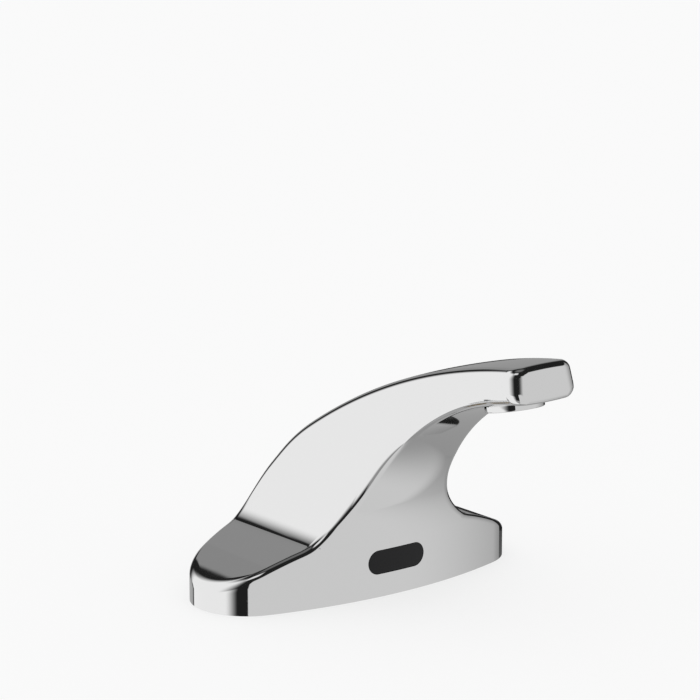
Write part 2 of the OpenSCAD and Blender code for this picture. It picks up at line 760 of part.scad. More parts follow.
module outlet_bush() color(brass) at_tube_end() translate([0, bush_in, 0]) rotate([90, 0, 0])
    difference() {
        rod(bush_r, bush_in + bush_out);
        translate([0, 0, -overrun]) rod(ring_seat_r, ring_seat_h + overrun);
        rod(tube_r + tube_slack, bush_in + fit_gap);
        rod(port_r, bush_in + bush_out + overrun);
    }

module aerator_housing() color(metal) at_outlet() rotate_extrude()
    polygon([[lip_r, -outlet_ring_h], [outlet_ring_d / 2 - seat_edge, -outlet_ring_h],
        [outlet_ring_d / 2, -outlet_ring_h + seat_edge], [outlet_ring_d / 2, 0],
        [thread_r - fit_gap, 0], [thread_r - fit_gap, thread_h - washer_t],
        [insert_r + fit_gap, thread_h - washer_t], [insert_r + fit_gap, -lip_h], [lip_r, -lip_h]]);

module aerator_washer() color(black) at_outlet() translate([0, 0, thread_h - washer_t])
    ring(thread_r - fit_gap, lip_r, washer_t);

module aerator_cage() color("white") at_outlet() {
    ring(insert_r, insert_r - cage_wall, cage_h);
    for (turn = [0, 60, 120]) rotate([0, 0, turn])
        translate([-insert_r + cage_wall / 2, -cage_wall / 2, 0])
            cube([2 * insert_r - cage_wall, cage_wall, screen_rise[0] - gap]);
}

module aerator_screens() color(steel) at_outlet() for (z = screen_rise)
    translate([0, 0, z]) rod(insert_r - cage_wall - gap, screen_t);

module flow_regulator() color("whitesmoke") at_outlet() translate([0, 0, cage_h]) difference() {
    rod(insert_r, regulator_h);
    for (turn = [0 : 60 : 300]) rotate([0, 0, turn]) translate([insert_r / 2, 0, -overrun])
        cylinder(r = honey_af, h = regulator_h + 2 * overrun, $fn = 6);
}

// Honeycomb face that the water leaves by
module spray_face() color("white") at_outlet() translate([0, 0, -lip_h]) difference() {
    rod(insert_r, lip_h);
    for (i = [-4 : 4], j = [-4 : 4]) {
        x = honey_pitch * (i + j / 2);
        y = honey_pitch * j * sin(60);
        if (norm([x, y]) + honey_af < lip_r + honey_af / 2)
            translate([x, y, -overrun])
                cylinder(d = honey_af / cos(30), h = lip_h + 2 * overrun, $fn = 6);
    }
}

module valve_body() color(brass) difference() {
    translate([0, valve_front + valve_d / 2, valve_z]) rounded_plate(valve_w, valve_d, valve_h, corner_r);
    on_valve(valve_z - overrun) rod(spigot_r + gap, inlet_h + overrun);
    for (side = [-1, 1]) translate([side * feed_x, valve_y, valve_z])
        rod(feed_r, valve_h - ring_h / 2);
    on_valve(valve_top - ring_h) ring(ring_out_r, ring_in_r, ring_h + overrun);
    on_valve(valve_top - seat_drop) rod(ring_in_r + gap, seat_drop + overrun);
    on_valve(valve_z + inlet_h + seat_floor) rod(seat_d / 2, valve_h);
    translate([0, valve_y, valve_z + inlet_h + seat_floor + cross_rise]) rotate([-90, 0, 0])
        rod(cross_r, tube_y - valve_y);
    translate([0, tube_y, valve_z + inlet_h + seat_floor]) rod(tube_bore_d / 2, valve_h);
    translate([0, tube_y, valve_top - socket_h]) rod(tube_r + tube_slack, socket_h + overrun);
    translate([0, tube_y, valve_top - ring_seat_h]) rod(ring_seat_r, ring_seat_h + overrun);
    four_bonnet_screws() translate([0, 0, yoke_z - bonnet_screw_l - gap])
        rod(bonnet_screw_r + fit_gap, bonnet_screw_l);
}

module valve_diaphragm() color(black) on_valve(valve_top) ring(membrane_r, poppet_r + fit_gap, membrane_t);

module main_poppet() color("white") on_valve(poppet_z) difference() {
    union() {
        rod(poppet_r, poppet_h);
        translate([0, 0, seat_drop + membrane_t + gap]) rod(poppet_flange_r, poppet_flange_h);
    }
    translate([0, 0, -overrun]) rod(pilot_r, poppet_h + 2 * overrun);
}

module valve_bonnet() color("white") difference() {
    on_valve(bonnet_z) rounded_plate(bonnet_w, bonnet_d, bonnet_h, corner_r);
    on_valve(bonnet_z - overrun) rod(bonnet_room_r, bonnet_room_h + overrun);
    on_valve(bonnet_z) rod(core_bore_r + gap, bonnet_h);
    on_valve(core_z) rod(core_flange_r + gap, core_flange_h + overrun);
    four_bonnet_screws() translate([0, 0, bonnet_z - overrun])
        rod(bonnet_screw_r + gap, bonnet_h + 2 * overrun);
}

module bonnet_screws() color(steel) four_bonnet_screws() translate([0, 0, yoke_z]) {
    rod(bonnet_head_r, bonnet_head_h);
    translate([0, 0, -bonnet_screw_l]) rod(bonnet_screw_r, bonnet_screw_l);
}

module core_tube() color(steel) on_valve(core_z) difference() {
    union() {
        rod(core_flange_r, core_flange_h);
        rod(core_r, core_top - core_z);
    }
    translate([0, 0, -overrun]) rod(core_bore_r, stop_z - core_z + overrun);
}

module plunger() color(steel) on_valve(plunger_z) difference() {
    rod(plunger_r, plunger_l);
    translate([0, 0, plunger_l - spring_depth]) rod(spring_r + 2 * gap, spring_depth + overrun);
}

module plunger_seal() color(black) on_valve(seal_z) rod(seal_r, seal_h);

module plunger_spring() color(steel) on_valve(plunger_z + plunger_l - spring_depth)
    ring(spring_r, spring_r - spring_wire, spring_depth + plunger_travel);

module coil_bobbin() color("black") on_valve(bobbin_z) {
    ring(core_r + gap + bobbin_wall, core_r + gap, bobbin_h);
    for (z = [0, bobbin_h - coil_flange_t]) translate([0, 0, z])
        ring(coil_d / 2, core_r + gap, coil_flange_t);
}

module coil_winding() color("chocolate") on_valve(bobbin_z + coil_flange_t + fit_gap)
    ring(coil_d / 2 - coil_flange_t / 2, core_r + gap + bobbin_wall + fit_gap, coil_l - 2 * fit_gap);

module coil_yoke() color(steel) difference() {
    union() {
        for (z = [yoke_z, yoke_top_z]) translate([-yoke_x, valve_y - yoke_half_d, z])
            cube([yoke_x + core_r + 2 * bobbin_wall, 2 * yoke_half_d, yoke_t]);
        translate([-yoke_x, valve_y - yoke_half_d, yoke_z])
            cube([yoke_t, 2 * yoke_half_d, yoke_top_z + yoke_t - yoke_z]);
    }
    on_valve(yoke_z - overrun) rod(core_r + gap, yoke_top_z + yoke_t + 2 * overrun - yoke_z);
}

module coil_clip() color(steel) on_valve(yoke_top_z + yoke_t) ring(clip_r, core_r + fit_gap, clip_t);

module inlet_shank() color(brass) on_valve(0) difference() {
    union() {
        translate([0, 0, -shank_drop]) rod(shank_tail_r, shank_tail);
        translate([0, 0, -shank_drop + shank_tail]) rod(shank_r, shank_drop - shank_tail + plate_top);
        translate([0, 0, plate_top]) rod(collar_r, collar_h);
        translate([0, 0, valve_z]) rod(spigot_r, spigot_h);
    }
    translate([0, 0, -shank_drop - overrun])
        rod(shank_bore_d / 2, shank_drop + valve_z + spigot_h + 2 * overrun);
    translate([0, 0, valve_z + spigot_h / 2 - inlet_ring_wire_r])
        ring(spigot_r + overrun, inlet_ring_r - inlet_ring_wire_r - fit_gap, 2 * inlet_ring_wire_r);
}

module inlet_o_ring() color(black) on_valve(valve_z + spigot_h / 2)
    torus(inlet_ring_r, inlet_ring_wire_r - fit_gap);

module inlet_filter() color(steel) on_valve(-shank_drop) {
    ring(shank_bore_d / 2 - fit_gap, shank_bore_d / 2 - wall / 2, shank_tail / 2);
    translate([0, 0, shank_tail / 2]) rod(shank_bore_d / 2 - fit_gap, wall / 2);
}

module shank_washer() color(steel) on_valve(-deck_t - shank_washer_t)
    ring(shank_washer_d / 2, shank_r + 2 * gap, shank_washer_t);

module shank_nut() color(brass) on_valve(-deck_t - shank_washer_t - shank_nut_h)
    hex_nut(shank_nut_af, shank_r + fit_gap, shank_nut_h);

// Flat sheet that fills the floor of the casting, with its holes
module floor_sheet(z, t, screw_hole_r, cable_hole_r) {
    translate([0, 0, z]) linear_extrude(height = t) difference() {
        plan_oval(wall + skirt_gap);
        for (side = [-1, 1]) translate([side * stud_pitch / 2, 0]) circle(r = stud_hole_r);
        for (x = [-1, 1], y = [-1, 1]) translate([x * lug_x, y * lug_y]) circle(r = screw_hole_r);
        translate([0, valve_y]) circle(r = shank_hole_r);
        translate([grommet_x, grommet_y]) circle(r = cable_hole_r);
    }
}

module base_plate() color(steel) floor_sheet(gasket_t, plate_t, lug_screw_r + gap, grommet_r);

module plate_screws() color(steel) four_lugs() {
    translate([0, 0, gasket_t - lug_head_h]) rod(lug_head_r, lug_head_h);
    translate([0, 0, gasket_t - gap]) rod(lug_screw_r, lug_screw_l + plate_t - gap);
}

module cable_grommet() color(black) translate([grommet_x, grommet_y, gasket_t]) {
    difference() {
        union() {
            rod(grommet_r - fit_gap, plate_t);
            translate([0, 0, plate_t]) rod(grommet_r + grommet_lip, grommet_lip);
        }
        translate([0, 0, -overrun]) rod(grommet_bore_r, plate_t + grommet_lip + 2 * overrun);
    }
}

module deck_gasket() color(black) floor_sheet(0, gasket_t, lug_head_r + gap, grommet_r + grommet_lip);

// Studs with a plain stretch inside the deck and a thread at each end
module mounting_studs() color(steel) both_studs() {
    translate([0, 0, -deck_t + stud_shoulder]) rod(stud_r, deck_t - 2 * stud_shoulder);
    translate([0, 0, -stud_drop]) rod(stud_thread_r, stud_drop + plate_top + boss_h - gap);
}

module stud_washers() color(steel) both_studs() translate([0, 0, -deck_t - stud_washer_t])
    ring(stud_washer_d / 2, stud_r + gap, stud_washer_t);

module stud_nuts() color(steel) both_studs() translate([0, 0, -deck_t - stud_washer_t - stud_nut_h])
    hex_nut(stud_nut_af, stud_thread_r + fit_gap, stud_nut_h);

body_casting();
sensor_window();
window_gasket();
sensor_housing();
circuit_board();
infrared_emitters();
infrared_receiver();
light_divider();
cable_boot();
sensor_bracket();
bracket_screws();
water_tube();
tube_o_rings();
outlet_bush();
aerator_housing();
aerator_washer();
aerator_cage();
aerator_screens();
flow_regulator();
spray_face();
valve_body();
valve_diaphragm();
main_poppet();
valve_bonnet();
bonnet_screws();
core_tube();
plunger();
plunger_seal();
plunger_spring();
coil_bobbin();
coil_winding();
coil_yoke();
coil_clip();
inlet_shank();
inlet_o_ring();
inlet_filter();
shank_washer();
shank_nut();
base_plate();
plate_screws();
cable_grommet();
deck_gasket();
mounting_studs();
stud_washers();
stud_nuts();
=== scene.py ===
"""Looks of a chromed deck tap with an infrared sensor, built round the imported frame.

Lengths are in metres. The middle of the base is the origin, +Z is up, and the spout points to -Y.
"""

import json
import math

import bmesh
import bpy
import numpy as np
from mathutils import Matrix, Vector


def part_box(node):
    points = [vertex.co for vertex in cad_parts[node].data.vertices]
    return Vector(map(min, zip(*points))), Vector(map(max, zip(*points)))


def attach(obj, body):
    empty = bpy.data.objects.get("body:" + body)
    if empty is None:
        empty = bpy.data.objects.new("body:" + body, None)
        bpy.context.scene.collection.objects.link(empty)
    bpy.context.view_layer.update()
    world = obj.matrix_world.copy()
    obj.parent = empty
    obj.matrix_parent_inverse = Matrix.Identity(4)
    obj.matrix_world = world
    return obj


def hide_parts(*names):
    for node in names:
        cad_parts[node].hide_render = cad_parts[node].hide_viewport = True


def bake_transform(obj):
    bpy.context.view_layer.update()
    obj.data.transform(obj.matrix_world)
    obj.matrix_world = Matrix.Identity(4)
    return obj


bl_info = {
    "name": "Sensor Tap",
    "version": (1, 0, 0),
    "blender": (4, 5, 0),
    "location": "View3D > Sidebar > Sensor Tap",
    "description": "Builds the looks of a chromed deck tap with an infrared sensor",
    "category": "Add Mesh",
}

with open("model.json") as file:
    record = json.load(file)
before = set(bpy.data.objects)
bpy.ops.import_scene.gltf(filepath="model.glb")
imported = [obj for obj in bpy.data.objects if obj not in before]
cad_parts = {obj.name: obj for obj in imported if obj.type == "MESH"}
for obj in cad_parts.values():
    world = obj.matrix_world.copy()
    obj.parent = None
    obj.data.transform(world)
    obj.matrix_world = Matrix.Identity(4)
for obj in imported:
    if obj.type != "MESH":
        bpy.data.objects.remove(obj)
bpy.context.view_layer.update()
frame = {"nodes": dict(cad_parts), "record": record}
MM = 0.001
BASE_LOW, BASE_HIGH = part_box("body_casting")
WINDOW_LOW, WINDOW_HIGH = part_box("sensor_window")
RING_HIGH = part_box("aerator_housing")[1]
STUD_LOW, STUD_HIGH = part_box("mounting_studs")
STUD_NUT_LOW, STUD_NUT_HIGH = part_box("stud_nuts")
STUD_WASHER_LOW, STUD_WASHER_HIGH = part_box("stud_washers")
SHANK_LOW, SHANK_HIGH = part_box("inlet_shank")
SHANK_NUT_LOW, SHANK_NUT_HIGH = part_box("shank_nut")
SHANK_WASHER_LOW, SHANK_WASHER_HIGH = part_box("shank_washer")
LUG_SCREW_LOW, LUG_SCREW_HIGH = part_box("plate_screws")
BONNET_SCREW_LOW, BONNET_SCREW_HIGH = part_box("bonnet_screws")
POST_SCREW_LOW, POST_SCREW_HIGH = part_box("bracket_screws")
SPRING_LOW, SPRING_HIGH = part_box("plunger_spring")
WINDING_LOW, WINDING_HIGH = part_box("coil_winding")
HOUSING, PLUNGER = "tap", "plunger"

# Rows and columns of points on the cast body
FACE_STEPS, EDGE_STEPS, SIDE_STEPS = 18, 7, 40
WALL_ROWS, WING_ROWS, LOW_ROWS, HIGH_ROWS, TIP_ROWS, CORNER_ROWS, CAP_ROWS = 7, 16, 40, 60, 10, 40, 7
ROOM_SHORT = 12                 # rows of the long bend that the hollow stops short of the tip
WELD, FINE_WELD = 1e-6, 1e-7    # points closer than this are one
ON_SKIN, SAME_WAY = 4e-6, 0.8   # how near a point lies to the skin, and how alike two normals are
PROBE, TINY = 2e-6, 1e-9        # step for measuring a slope, and what keeps a divisor from zero
LEVEL, CREASE_SLACK = 1e-5, 1e-4    # how near points are to one plane, and to the crease
ROUND_STEPS, RING_STEPS, STUD_STEPS, SCREW_STEPS, OVAL_STEPS = 96, 128, 36, 24, 24
SHARP_DEGREES = 30
THREAD_DEPTH, THREAD_ROWS = 0.6, 8          # depth in pitches, and rings of points in a turn
NUT_CORNER, NUT_ROWS = 0.47, 6              # a nut's flat end in widths across flats, its rings
SOCKET_WIDTH, SOCKET_FLOOR = 0.9, 0.4       # hexagon socket in head radii and in head heights
CLOSED_TURNS, WIRE_SIDES, TURN_STEPS = 1.25, 12, 32     # ends of the spring, and points on its wire


def linear(code):
    """Linear colour of an sRGB hex code."""
    parts = [int(code[k:k + 2], 16) / 255 for k in (0, 2, 4)]
    return tuple(c / 12.92 if c <= 0.04045 else ((c + 0.055) / 1.055) ** 2.4 for c in parts)


def length(name, default, low, high, text):
    """A size in metres that the user can change between two limits."""
    return bpy.props.FloatProperty(name=name, description=text, default=default, min=low, max=high,
                                   unit="LENGTH", subtype="DISTANCE", precision=5)


def turn(name, degrees, low, high, text):
    """An angle that the user can change, given here in degrees."""
    return bpy.props.FloatProperty(name=name, description=text, default=math.radians(degrees),
                                   min=math.radians(low), max=math.radians(high), subtype="ANGLE")


def colour(name, code, text):
    """A colour that the user can change, given here as an sRGB hex code."""
    return bpy.props.FloatVectorProperty(name=name, description=text, size=3, min=0, max=1,
                                         subtype="COLOR", default=linear(code))


class TapForm(bpy.types.PropertyGroup):
    """Sizes of the cast body: the frame's, with the back and the rounded edges read more closely."""
    base_width: length("Base width", BASE_HIGH.x - BASE_LOW.x, 0.15, 0.158, "Side to side")
    base_depth: length("Base depth", 2 * BASE_HIGH.y, 0.061, 0.066, "Front to back")
    base_end: length("Base end radius", 0.024, 0.022, 0.027, "Radius of the base's round ends")
    wing_end: length("Wing end height", 0.0107, 0.0095, 0.013, "Height of the wings at their ends")
    crease_height: length("Crease height", 0.0251, 0.0245, 0.027, "Where wings meet the neck")
    crease_offset: length("Crease offset", 0.0415, 0.04, 0.0435, "Crease from the middle")
    neck_radius: length("Neck radius", 0.0396, 0.038, 0.042, "Hollow curve beside the neck")
    waist: length("Waist", 0.0218, 0.0205, 0.023, "Half width of the neck's waist")
    side_taper: turn("Side taper", 6.5, 5, 8, "How each side draws in towards the tip")
    front_rise: length("Front rise", 0.022, 0.021, 0.0235, "Upright part of the front")
    front_low: length("Front low radius", 0.042, 0.039, 0.045, "Lower bend of the front")
    front_turn: turn("Front turn", 25.2, 24, 26.5, "Angle of that lower bend")
    front_high: length("Front high radius", 0.101, 0.099, 0.103, "Long bend under the spout")
    back_rise: length("Back rise", 0.0314, 0.03, 0.033, "Upright part of the back")
    back_bend: length("Back bend radius", 0.0268, 0.025, 0.032, "Bend at the top of the back")
    back_turn: turn("Back turn", 38, 34, 42, "Angle of the back's bend")
    shoulder_radius: length("Shoulder radius", 0.093, 0.08, 0.11, "Bend from the back into the top")
    shoulder_turn: turn("Shoulder turn", 18.8, 15, 22, "Angle of the shoulder's bend")
    top_radius: length("Top radius", 0.2945, 0.28, 0.31, "Long top of neck and spout")
    tip_tilt: turn("Tip tilt", 12, 11, 13, "Rise of the spout at its tip")
    spout_reach: length("Spout reach", 0.104, 0.101, 0.106, "Studs to the outlet's axis")
    tip_ahead: length("Tip ahead", 0.02135, 0.019, 0.0225, "Outlet's axis to the tip's face")
    wall: length("Wall", 0.003, 0.0025, 0.0033, "Thickness of the casting")
    edge: length("Edge radius", 0.0025, 0.0015, 0.0028, "Rounded edges of the base")
    top_edge: length("Upper edge radius", 0.0038, 0.0025, 0.0045, "Back and upper edges of the neck")
    top_edge_rise: length("Upper edge rise", 0.02, 0.01, 0.03, "Height over which it grows to that")
    low_edge: length("Lower edge radius", 0.0063, 0.0045, 0.0065, "Lower edges at the tip")
    tip_corner: length("Tip corner radius", 0.0065, 0.0065, 0.008, "Upright corners of the tip")
    tip_edge: length("Tip edge radius", 0.0025, 0.0015, 0.003, "Upper and lower edge of the tip")
    crease_soft: length("Crease softness", 0.0007, 0.0002, 0.002, "How soft the crease is")


class TapFittings(bpy.types.PropertyGroup):
    """Sizes of the fittings that are built again with their threads, sockets and edges."""
    window_width: length("Window width", 0.0288, 0.026, 0.03, "Side to side")
    window_height: length("Window height", 0.01, 0.009, 0.0105, "Up and down")
    window_flange: length("Window flange", 0.0015, 0.001, 0.002, "Rim behind the wall, at each side")
    window_flange_depth: length("Window flange depth", 0.0012, 0.001, 0.0015, "Front to back")
    window_edge: length("Window edge", 0.00025, 0.0001, 0.0004, "Rounded edge of its face")
    fit_gap: length("Fit gap", 0.0001, 0.0001, 0.0003, "Room between two pieces that fit")
    outlet_thread: length("Outlet thread", 0.011, 0.0105, 0.0113, "Radius of the thread in the spout")
    outlet_depth: length("Outlet depth", 0.0074, 0.007, 0.008, "Depth of that thread")
    outlet_washer: length("Outlet washer", 0.0014, 0.001, 0.0018, "Rubber between ring and spout")
    ring_height: length("Outlet ring height", 0.0024, 0.0018, 0.003, "Part that hangs below the spout")
    ring_wall: length("Outlet ring wall", 0.00165, 0.0014, 0.0018, "Thickness of its threaded part")
    ring_lip: length("Outlet ring lip", 0.0083, 0.008, 0.009, "Radius of the opening in it")
    ring_edge: length("Outlet ring edge", 0.0005, 0.0002, 0.0008, "Rounded lower edge of the ring")
    ring_seat: length("Outlet ring seat", 0.0004, 0.0002, 0.0006, "Room round it in the spout")
    stud_pitch: length("Stud thread", 0.00125, 0.001, 0.0015, "Turn to turn")
    stud_spacing: length("Stud spacing", 0.1016, 0.098, 0.103, "Axis to axis")
    stud_plain: length("Plain part of a stud", 0.017, 0.01, 0.018, "In the middle of the deck")
    deck: length("Deck", 0.02, 0.005, 0.03, "Thickness of the deck under the tap")
    valve_axis: length("Valve axis", 0.003, 0.002, 0.004, "Shank, valve and coil, behind the studs")
    shank_radius: length("Shank radius", 0.0104, 0.0095, 0.0105, "Threaded part through the deck")
    shank_pitch: length("Shank thread", 0.001814, 0.0015, 0.002, "Turn to turn")
    shank_tail: length("Shank tail", 0.022, 0.02, 0.025, "Length for the supply nut")
    shank_tail_radius: length("Shank tail radius", 0.0102, 0.0093, 0.0103, "For the supply nut")
    shank_bore: length("Shank bore", 0.005, 0.004, 0.0052, "Radius of the water way")
    collar_base: length("Collar base", 0.004, 0.0035, 0.0045, "Height of the shank's collar")
    collar_height: length("Collar thickness", 0.003, 0.0025, 0.0035, "Under the valve")
    spigot_radius: length("Spigot radius", 0.0074, 0.007, 0.0078, "Part that enters the valve")
    groove_radius: length("Groove radius", 0.0057, 0.0054, 0.006, "Floor of the ring's groove")
    groove_width: length("Groove width", 0.0016, 0.0014, 0.0018, "Along the spigot")
    screw_pitch: length("Screw thread", 0.0005, 0.0004, 0.0007, "Turn to turn")
    lug_screw: length("Plate screw", 0.0015, 0.00125, 0.0015, "Radius of its thread")
    bonnet_screw: length("Bonnet screw", 0.0015, 0.00125, 0.0015, "Radius of its thread")
    post_screw: length("Bracket screw", 0.00125, 0.001, 0.00125, "Radius of its thread")
    lug_head: length("Plate screw head", 0.003, 0.0027, 0.0032, "Radius")
    bonnet_head: length("Bonnet screw head", 0.0024, 0.0022, 0.0026, "Radius")
    post_head: length("Bracket screw head", 0.0026, 0.0024, 0.0028, "Radius")
    lug_head_height: length("Plate screw head height", 0.0015, 0.0012, 0.0018, "Along the screw")
    bonnet_head_height: length("Bonnet screw head height", 0.0018, 0.0015, 0.002, "Along the screw")
    post_head_height: length("Bracket screw head height", 0.002, 0.0018, 0.0022, "Along the screw")
    chamfer: length("Chamfer", 0.0003, 0.0001, 0.0005, "Turned edges of screws and washers")
    spring_wire: length("Spring wire", 0.0005, 0.0004, 0.0006, "Diameter")
    spring_turns: bpy.props.FloatProperty(
        name="Spring turns", description="Open turns between the closed ends", default=4.5,
        min=3, max=6)
    winding_wire: length("Winding wire", 0.00035, 0.0003, 0.0005, "Diameter with its enamel")
    winding_inside: length("Winding inside", 0.0059, 0.0055, 0.0062, "Radius on the bobbin")


class TapFinish(bpy.types.PropertyGroup):
    """Colours of the finishes."""
    chrome: colour("Chrome", "D6D6D6", "Bright chrome plate")
    window: colour("Window", "0A0A0C", "Black window that lets infrared through")
    rubber: colour("Rubber", "17181A", "Moulded black rubber")
    black_plastic: colour("Black plastic", "1C1D1F", "Moulded black plastic")
    white_plastic: colour("White plastic", "E4E3DE", "Moulded off-white plastic")
    brass: colour("Brass", "D9B56C", "Turned brass")
    copper: colour("Copper", "D98F66", "Drawn copper")
    wire: colour("Winding wire", "8A3F1E", "Enamelled copper wire")
    steel: colour("Stainless steel", "C3C4C6", "Stamped stainless steel")
    zinc: colour("Zinc plate", "C9CCD0", "Bright zinc plate")
    board: colour("Board", "1E5B38", "Green glass-fibre board")
    lens: colour("Lamp lens", "C9C4DA", "Clear moulded lens")
    dark_lens: colour("Receiver lens", "1A1424", "Dark tinted lens")
    floor: colour("Floor", "F7F7F7", "Pale floor")


# ---- Materials -------------------------------------------------------------------------------

def node(tree, kind, links=(), **settings):
    """Adds one node: settings name its properties or input sockets, links join sockets to it."""
    made = tree.nodes.new(kind)
    for key, value in settings.items():
        if hasattr(made, key):
            setattr(made, key, value)
        else:
            made.inputs[int(key[1:]) if key[0] == "_" else key.replace("_", " ")].default_value = value
    for source, socket in links:
        tree.links.new(source, made.inputs[socket])
    return made


def new_material(name):
    """A material with an empty node tree, and that tree."""
    material = bpy.data.materials.new(name)
    material.use_nodes = True
    material.node_tree.nodes.clear()
    return material, material.node_tree


def close_material(material, shader):
    """Joins the shader to the material's output."""
    tree = material.node_tree
    out = node(tree, "ShaderNodeOutputMaterial", [(shader.outputs[0], "Surface")])
    out.name = "Surface"
    return material


def steps_of(tree, size_mm):
    """Object coordinates, counted in steps of that many millimetres."""
    where, scale = node(tree, "ShaderNodeTexCoord"), 1 / (size_mm * MM)
    return node(tree, "ShaderNodeMapping", [(where.outputs["Object"], "Vector")],
                Scale=(scale, scale, scale)).outputs["Vector"]


def clouds(tree, size_mm, detail):
    """Soft noise whose clouds are about that wide."""
    return node(tree, "ShaderNodeTexNoise", [(steps_of(tree, size_mm), "Vector")], Scale=1,
                Detail=detail).outputs["Fac"]


def spread(tree, share, low, high):
    """Runs from low to high over the middle of a noise's range, where most of it lies."""
    return node(tree, "ShaderNodeMapRange", [(share, "Value")], From_Min=0.3, From_Max=0.7,
                To_Min=low, To_Max=high).outputs["Result"]


def two_tone(tree, share, tone, darker):
    """The tone itself, and a darker one where the share is high."""
    return node(tree, "ShaderNodeMix", [(share, "Factor")], data_type="RGBA", A=(*tone, 1),
                B=(*(darker * c for c in tone), 1)).outputs[2]


def relief(tree, height, depth_mm, strength):
    """Normals of a surface with that much relief."""
    return node(tree, "ShaderNodeBump", [(height, "Height")], Strength=strength,
                Distance=depth_mm * MM).outputs["Normal"]


def chrome_plate(tone):
    """Chrome plate over polished brass: a mirror with the faint ripple of hand polishing."""
    material, tree = new_material("polished_chrome_plate")
    ripple_mm, haze_mm = 9, 4
    shader = node(tree, "ShaderNodeBsdfPrincipled",
                  [(spread(tree, clouds(tree, haze_mm, 4), 0.035, 0.06), "Roughness"),
                   (relief(tree, clouds(tree, ripple_mm, 1), 0.02, 0.02), "Normal")],
                  Base_Color=(*tone, 1), Metallic=1)
    return close_material(material, shader)


def turned_metal(name, tone, roughness, groove_mm, depth_mm):
    """Turned, drawn or stamped metal: fine tool marks round it and a little stain."""
    material, tree = new_material(name)
    stain_mm, one_groove = 6, 0.32      # at that wave scale, a band is one step wide
    marks = node(tree, "ShaderNodeTexWave", [(steps_of(tree, groove_mm), "Vector")],
                 bands_direction="Z", Scale=one_groove, Distortion=1.2, Detail=2)
    stain = clouds(tree, stain_mm, 5)
    shader = node(tree, "ShaderNodeBsdfPrincipled",
                  [(two_tone(tree, stain, tone, 0.78), "Base Color"),
                   (spread(tree, stain, roughness * 0.8, roughness * 1.3), "Roughness"),
                   (relief(tree, marks.outputs["Fac"], depth_mm, 0.35), "Normal")], Metallic=1)
    return close_material(material, shader)


def moulded(name, tone, roughness, grain_mm, depth_mm, ior=1.5):
    """Moulded rubber or plastic: an even colour with a fine spark-eroded grain."""
    material, tree = new_material(name)
    grain = clouds(tree, grain_mm, 3)
    shader = node(tree, "ShaderNodeBsdfPrincipled",
                  [(two_tone(tree, grain, tone, 0.86), "Base Color"),
                   (spread(tree, grain, roughness * 0.9, min(1.0, roughness * 1.15)), "Roughness"),
                   (relief(tree, grain, depth_mm, 0.4), "Normal")], IOR=ior)
    return close_material(material, shader)


def window_plastic(tone):
    """Dyed acrylic: near black, glossy, with a faint moulded waviness."""
    material, tree = new_material("dyed_acrylic_window")
    wave_mm = 6
    wave = clouds(tree, wave_mm, 1)
    shader = node(tree, "ShaderNodeBsdfPrincipled",
                  [(spread(tree, wave, 0.10, 0.16), "Roughness"),
                   (relief(tree, wave, 0.02, 0.05), "Normal")],
                  Base_Color=(*tone, 1), IOR=1.49, Specular_IOR_Level=0.25)
    return close_material(material, shader)


def make_finishes():
    """All materials, by the name of the record's material slot."""
    c = bpy.context.scene.tap_finish
    return {
        "chromed_brass": chrome_plate(c.chrome),
        "window_plastic": window_plastic(c.window),
        "black_rubber": moulded("nitrile_rubber", c.rubber, 0.62, 0.35, 0.02, 1.52),
        "black_plastic": moulded("black_nylon", c.black_plastic, 0.48, 0.3, 0.015, 1.53),
        "white_plastic": moulded("white_acetal", c.white_plastic, 0.38, 0.4, 0.01, 1.48),
        "board": moulded("lacquered_glass_fibre_board", c.board, 0.3, 0.5, 0.01, 1.55),
        "clear_lens": moulded("clear_epoxy_lens", c.lens, 0.12, 2, 0.005, 1.54),
        "dark_lens": moulded("dark_epoxy_lens", c.dark_lens, 0.12, 2, 0.005, 1.54),
        "brass": turned_metal("turned_brass", c.brass, 0.24, 0.3, 0.004),
        "copper": turned_metal("drawn_copper", c.copper, 0.28, 0.4, 0.003),
        "copper_wire": turned_metal("enamelled_copper_wire", c.wire, 0.3, 0.35, 0.05),
        "stainless": turned_metal("stamped_stainless_steel", c.steel, 0.3, 0.25, 0.003),
        "zinc_steel": turned_metal("zinc_plated_steel", c.zinc, 0.26, 0.3, 0.003),
    }


def finish_of(name):
    """Material slot that the record gives a CAD node."""
    return next(part["material_slot"] for part in frame["record"]["subparts"] if part["node"] == name)


def place_material(obj, slot):
    """Gives an object the finish of a material slot, in place of what it had."""
    obj.data.materials.clear()
    obj.data.materials.append(FINISHES[slot])


FINISHES = {}


# ---- Mesh helpers ----------------------------------------------------------------------------

def keep(bm, name, cad_node, body=HOUSING):
    """Turns a bmesh into a finished piece that stands for a CAD node."""
    bmesh.ops.recalc_face_normals(bm, faces=bm.faces)
    mesh = bpy.data.meshes.new(name)
    bm.to_mesh(mesh)
    bm.free()
    obj = bpy.data.objects.new(name, mesh)
    bpy.context.scene.collection.objects.link(obj)
    mesh.shade_smooth()
    mesh.set_sharp_from_angle(angle=math.radians(SHARP_DEGREES))
    slot = finish_of(cad_node)
    place_material(obj, slot)
    if body:
        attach(obj, body)
    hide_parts(cad_node)
    return obj


def lathe(bm, profile, steps=ROUND_STEPS, where=Matrix.Identity(4)):
    """Spins a closed profile of (radius, height) points about the Z axis, then places it."""
    start = [bm.verts.new((r, 0, z)) for r, z in profile]
    edges = [bm.edges.new((start[k], start[(k + 1) % len(start)])) for k in range(len(start))]
    before = set(bm.verts) - set(start)
    bmesh.ops.spin(bm, geom=start + edges, cent=(0, 0, 0), axis=(0, 0, 1), angle=2 * math.pi,
                   steps=steps, use_merge=True)
    bmesh.ops.transform(bm, matrix=where, verts=[v for v in bm.verts if v not in before])


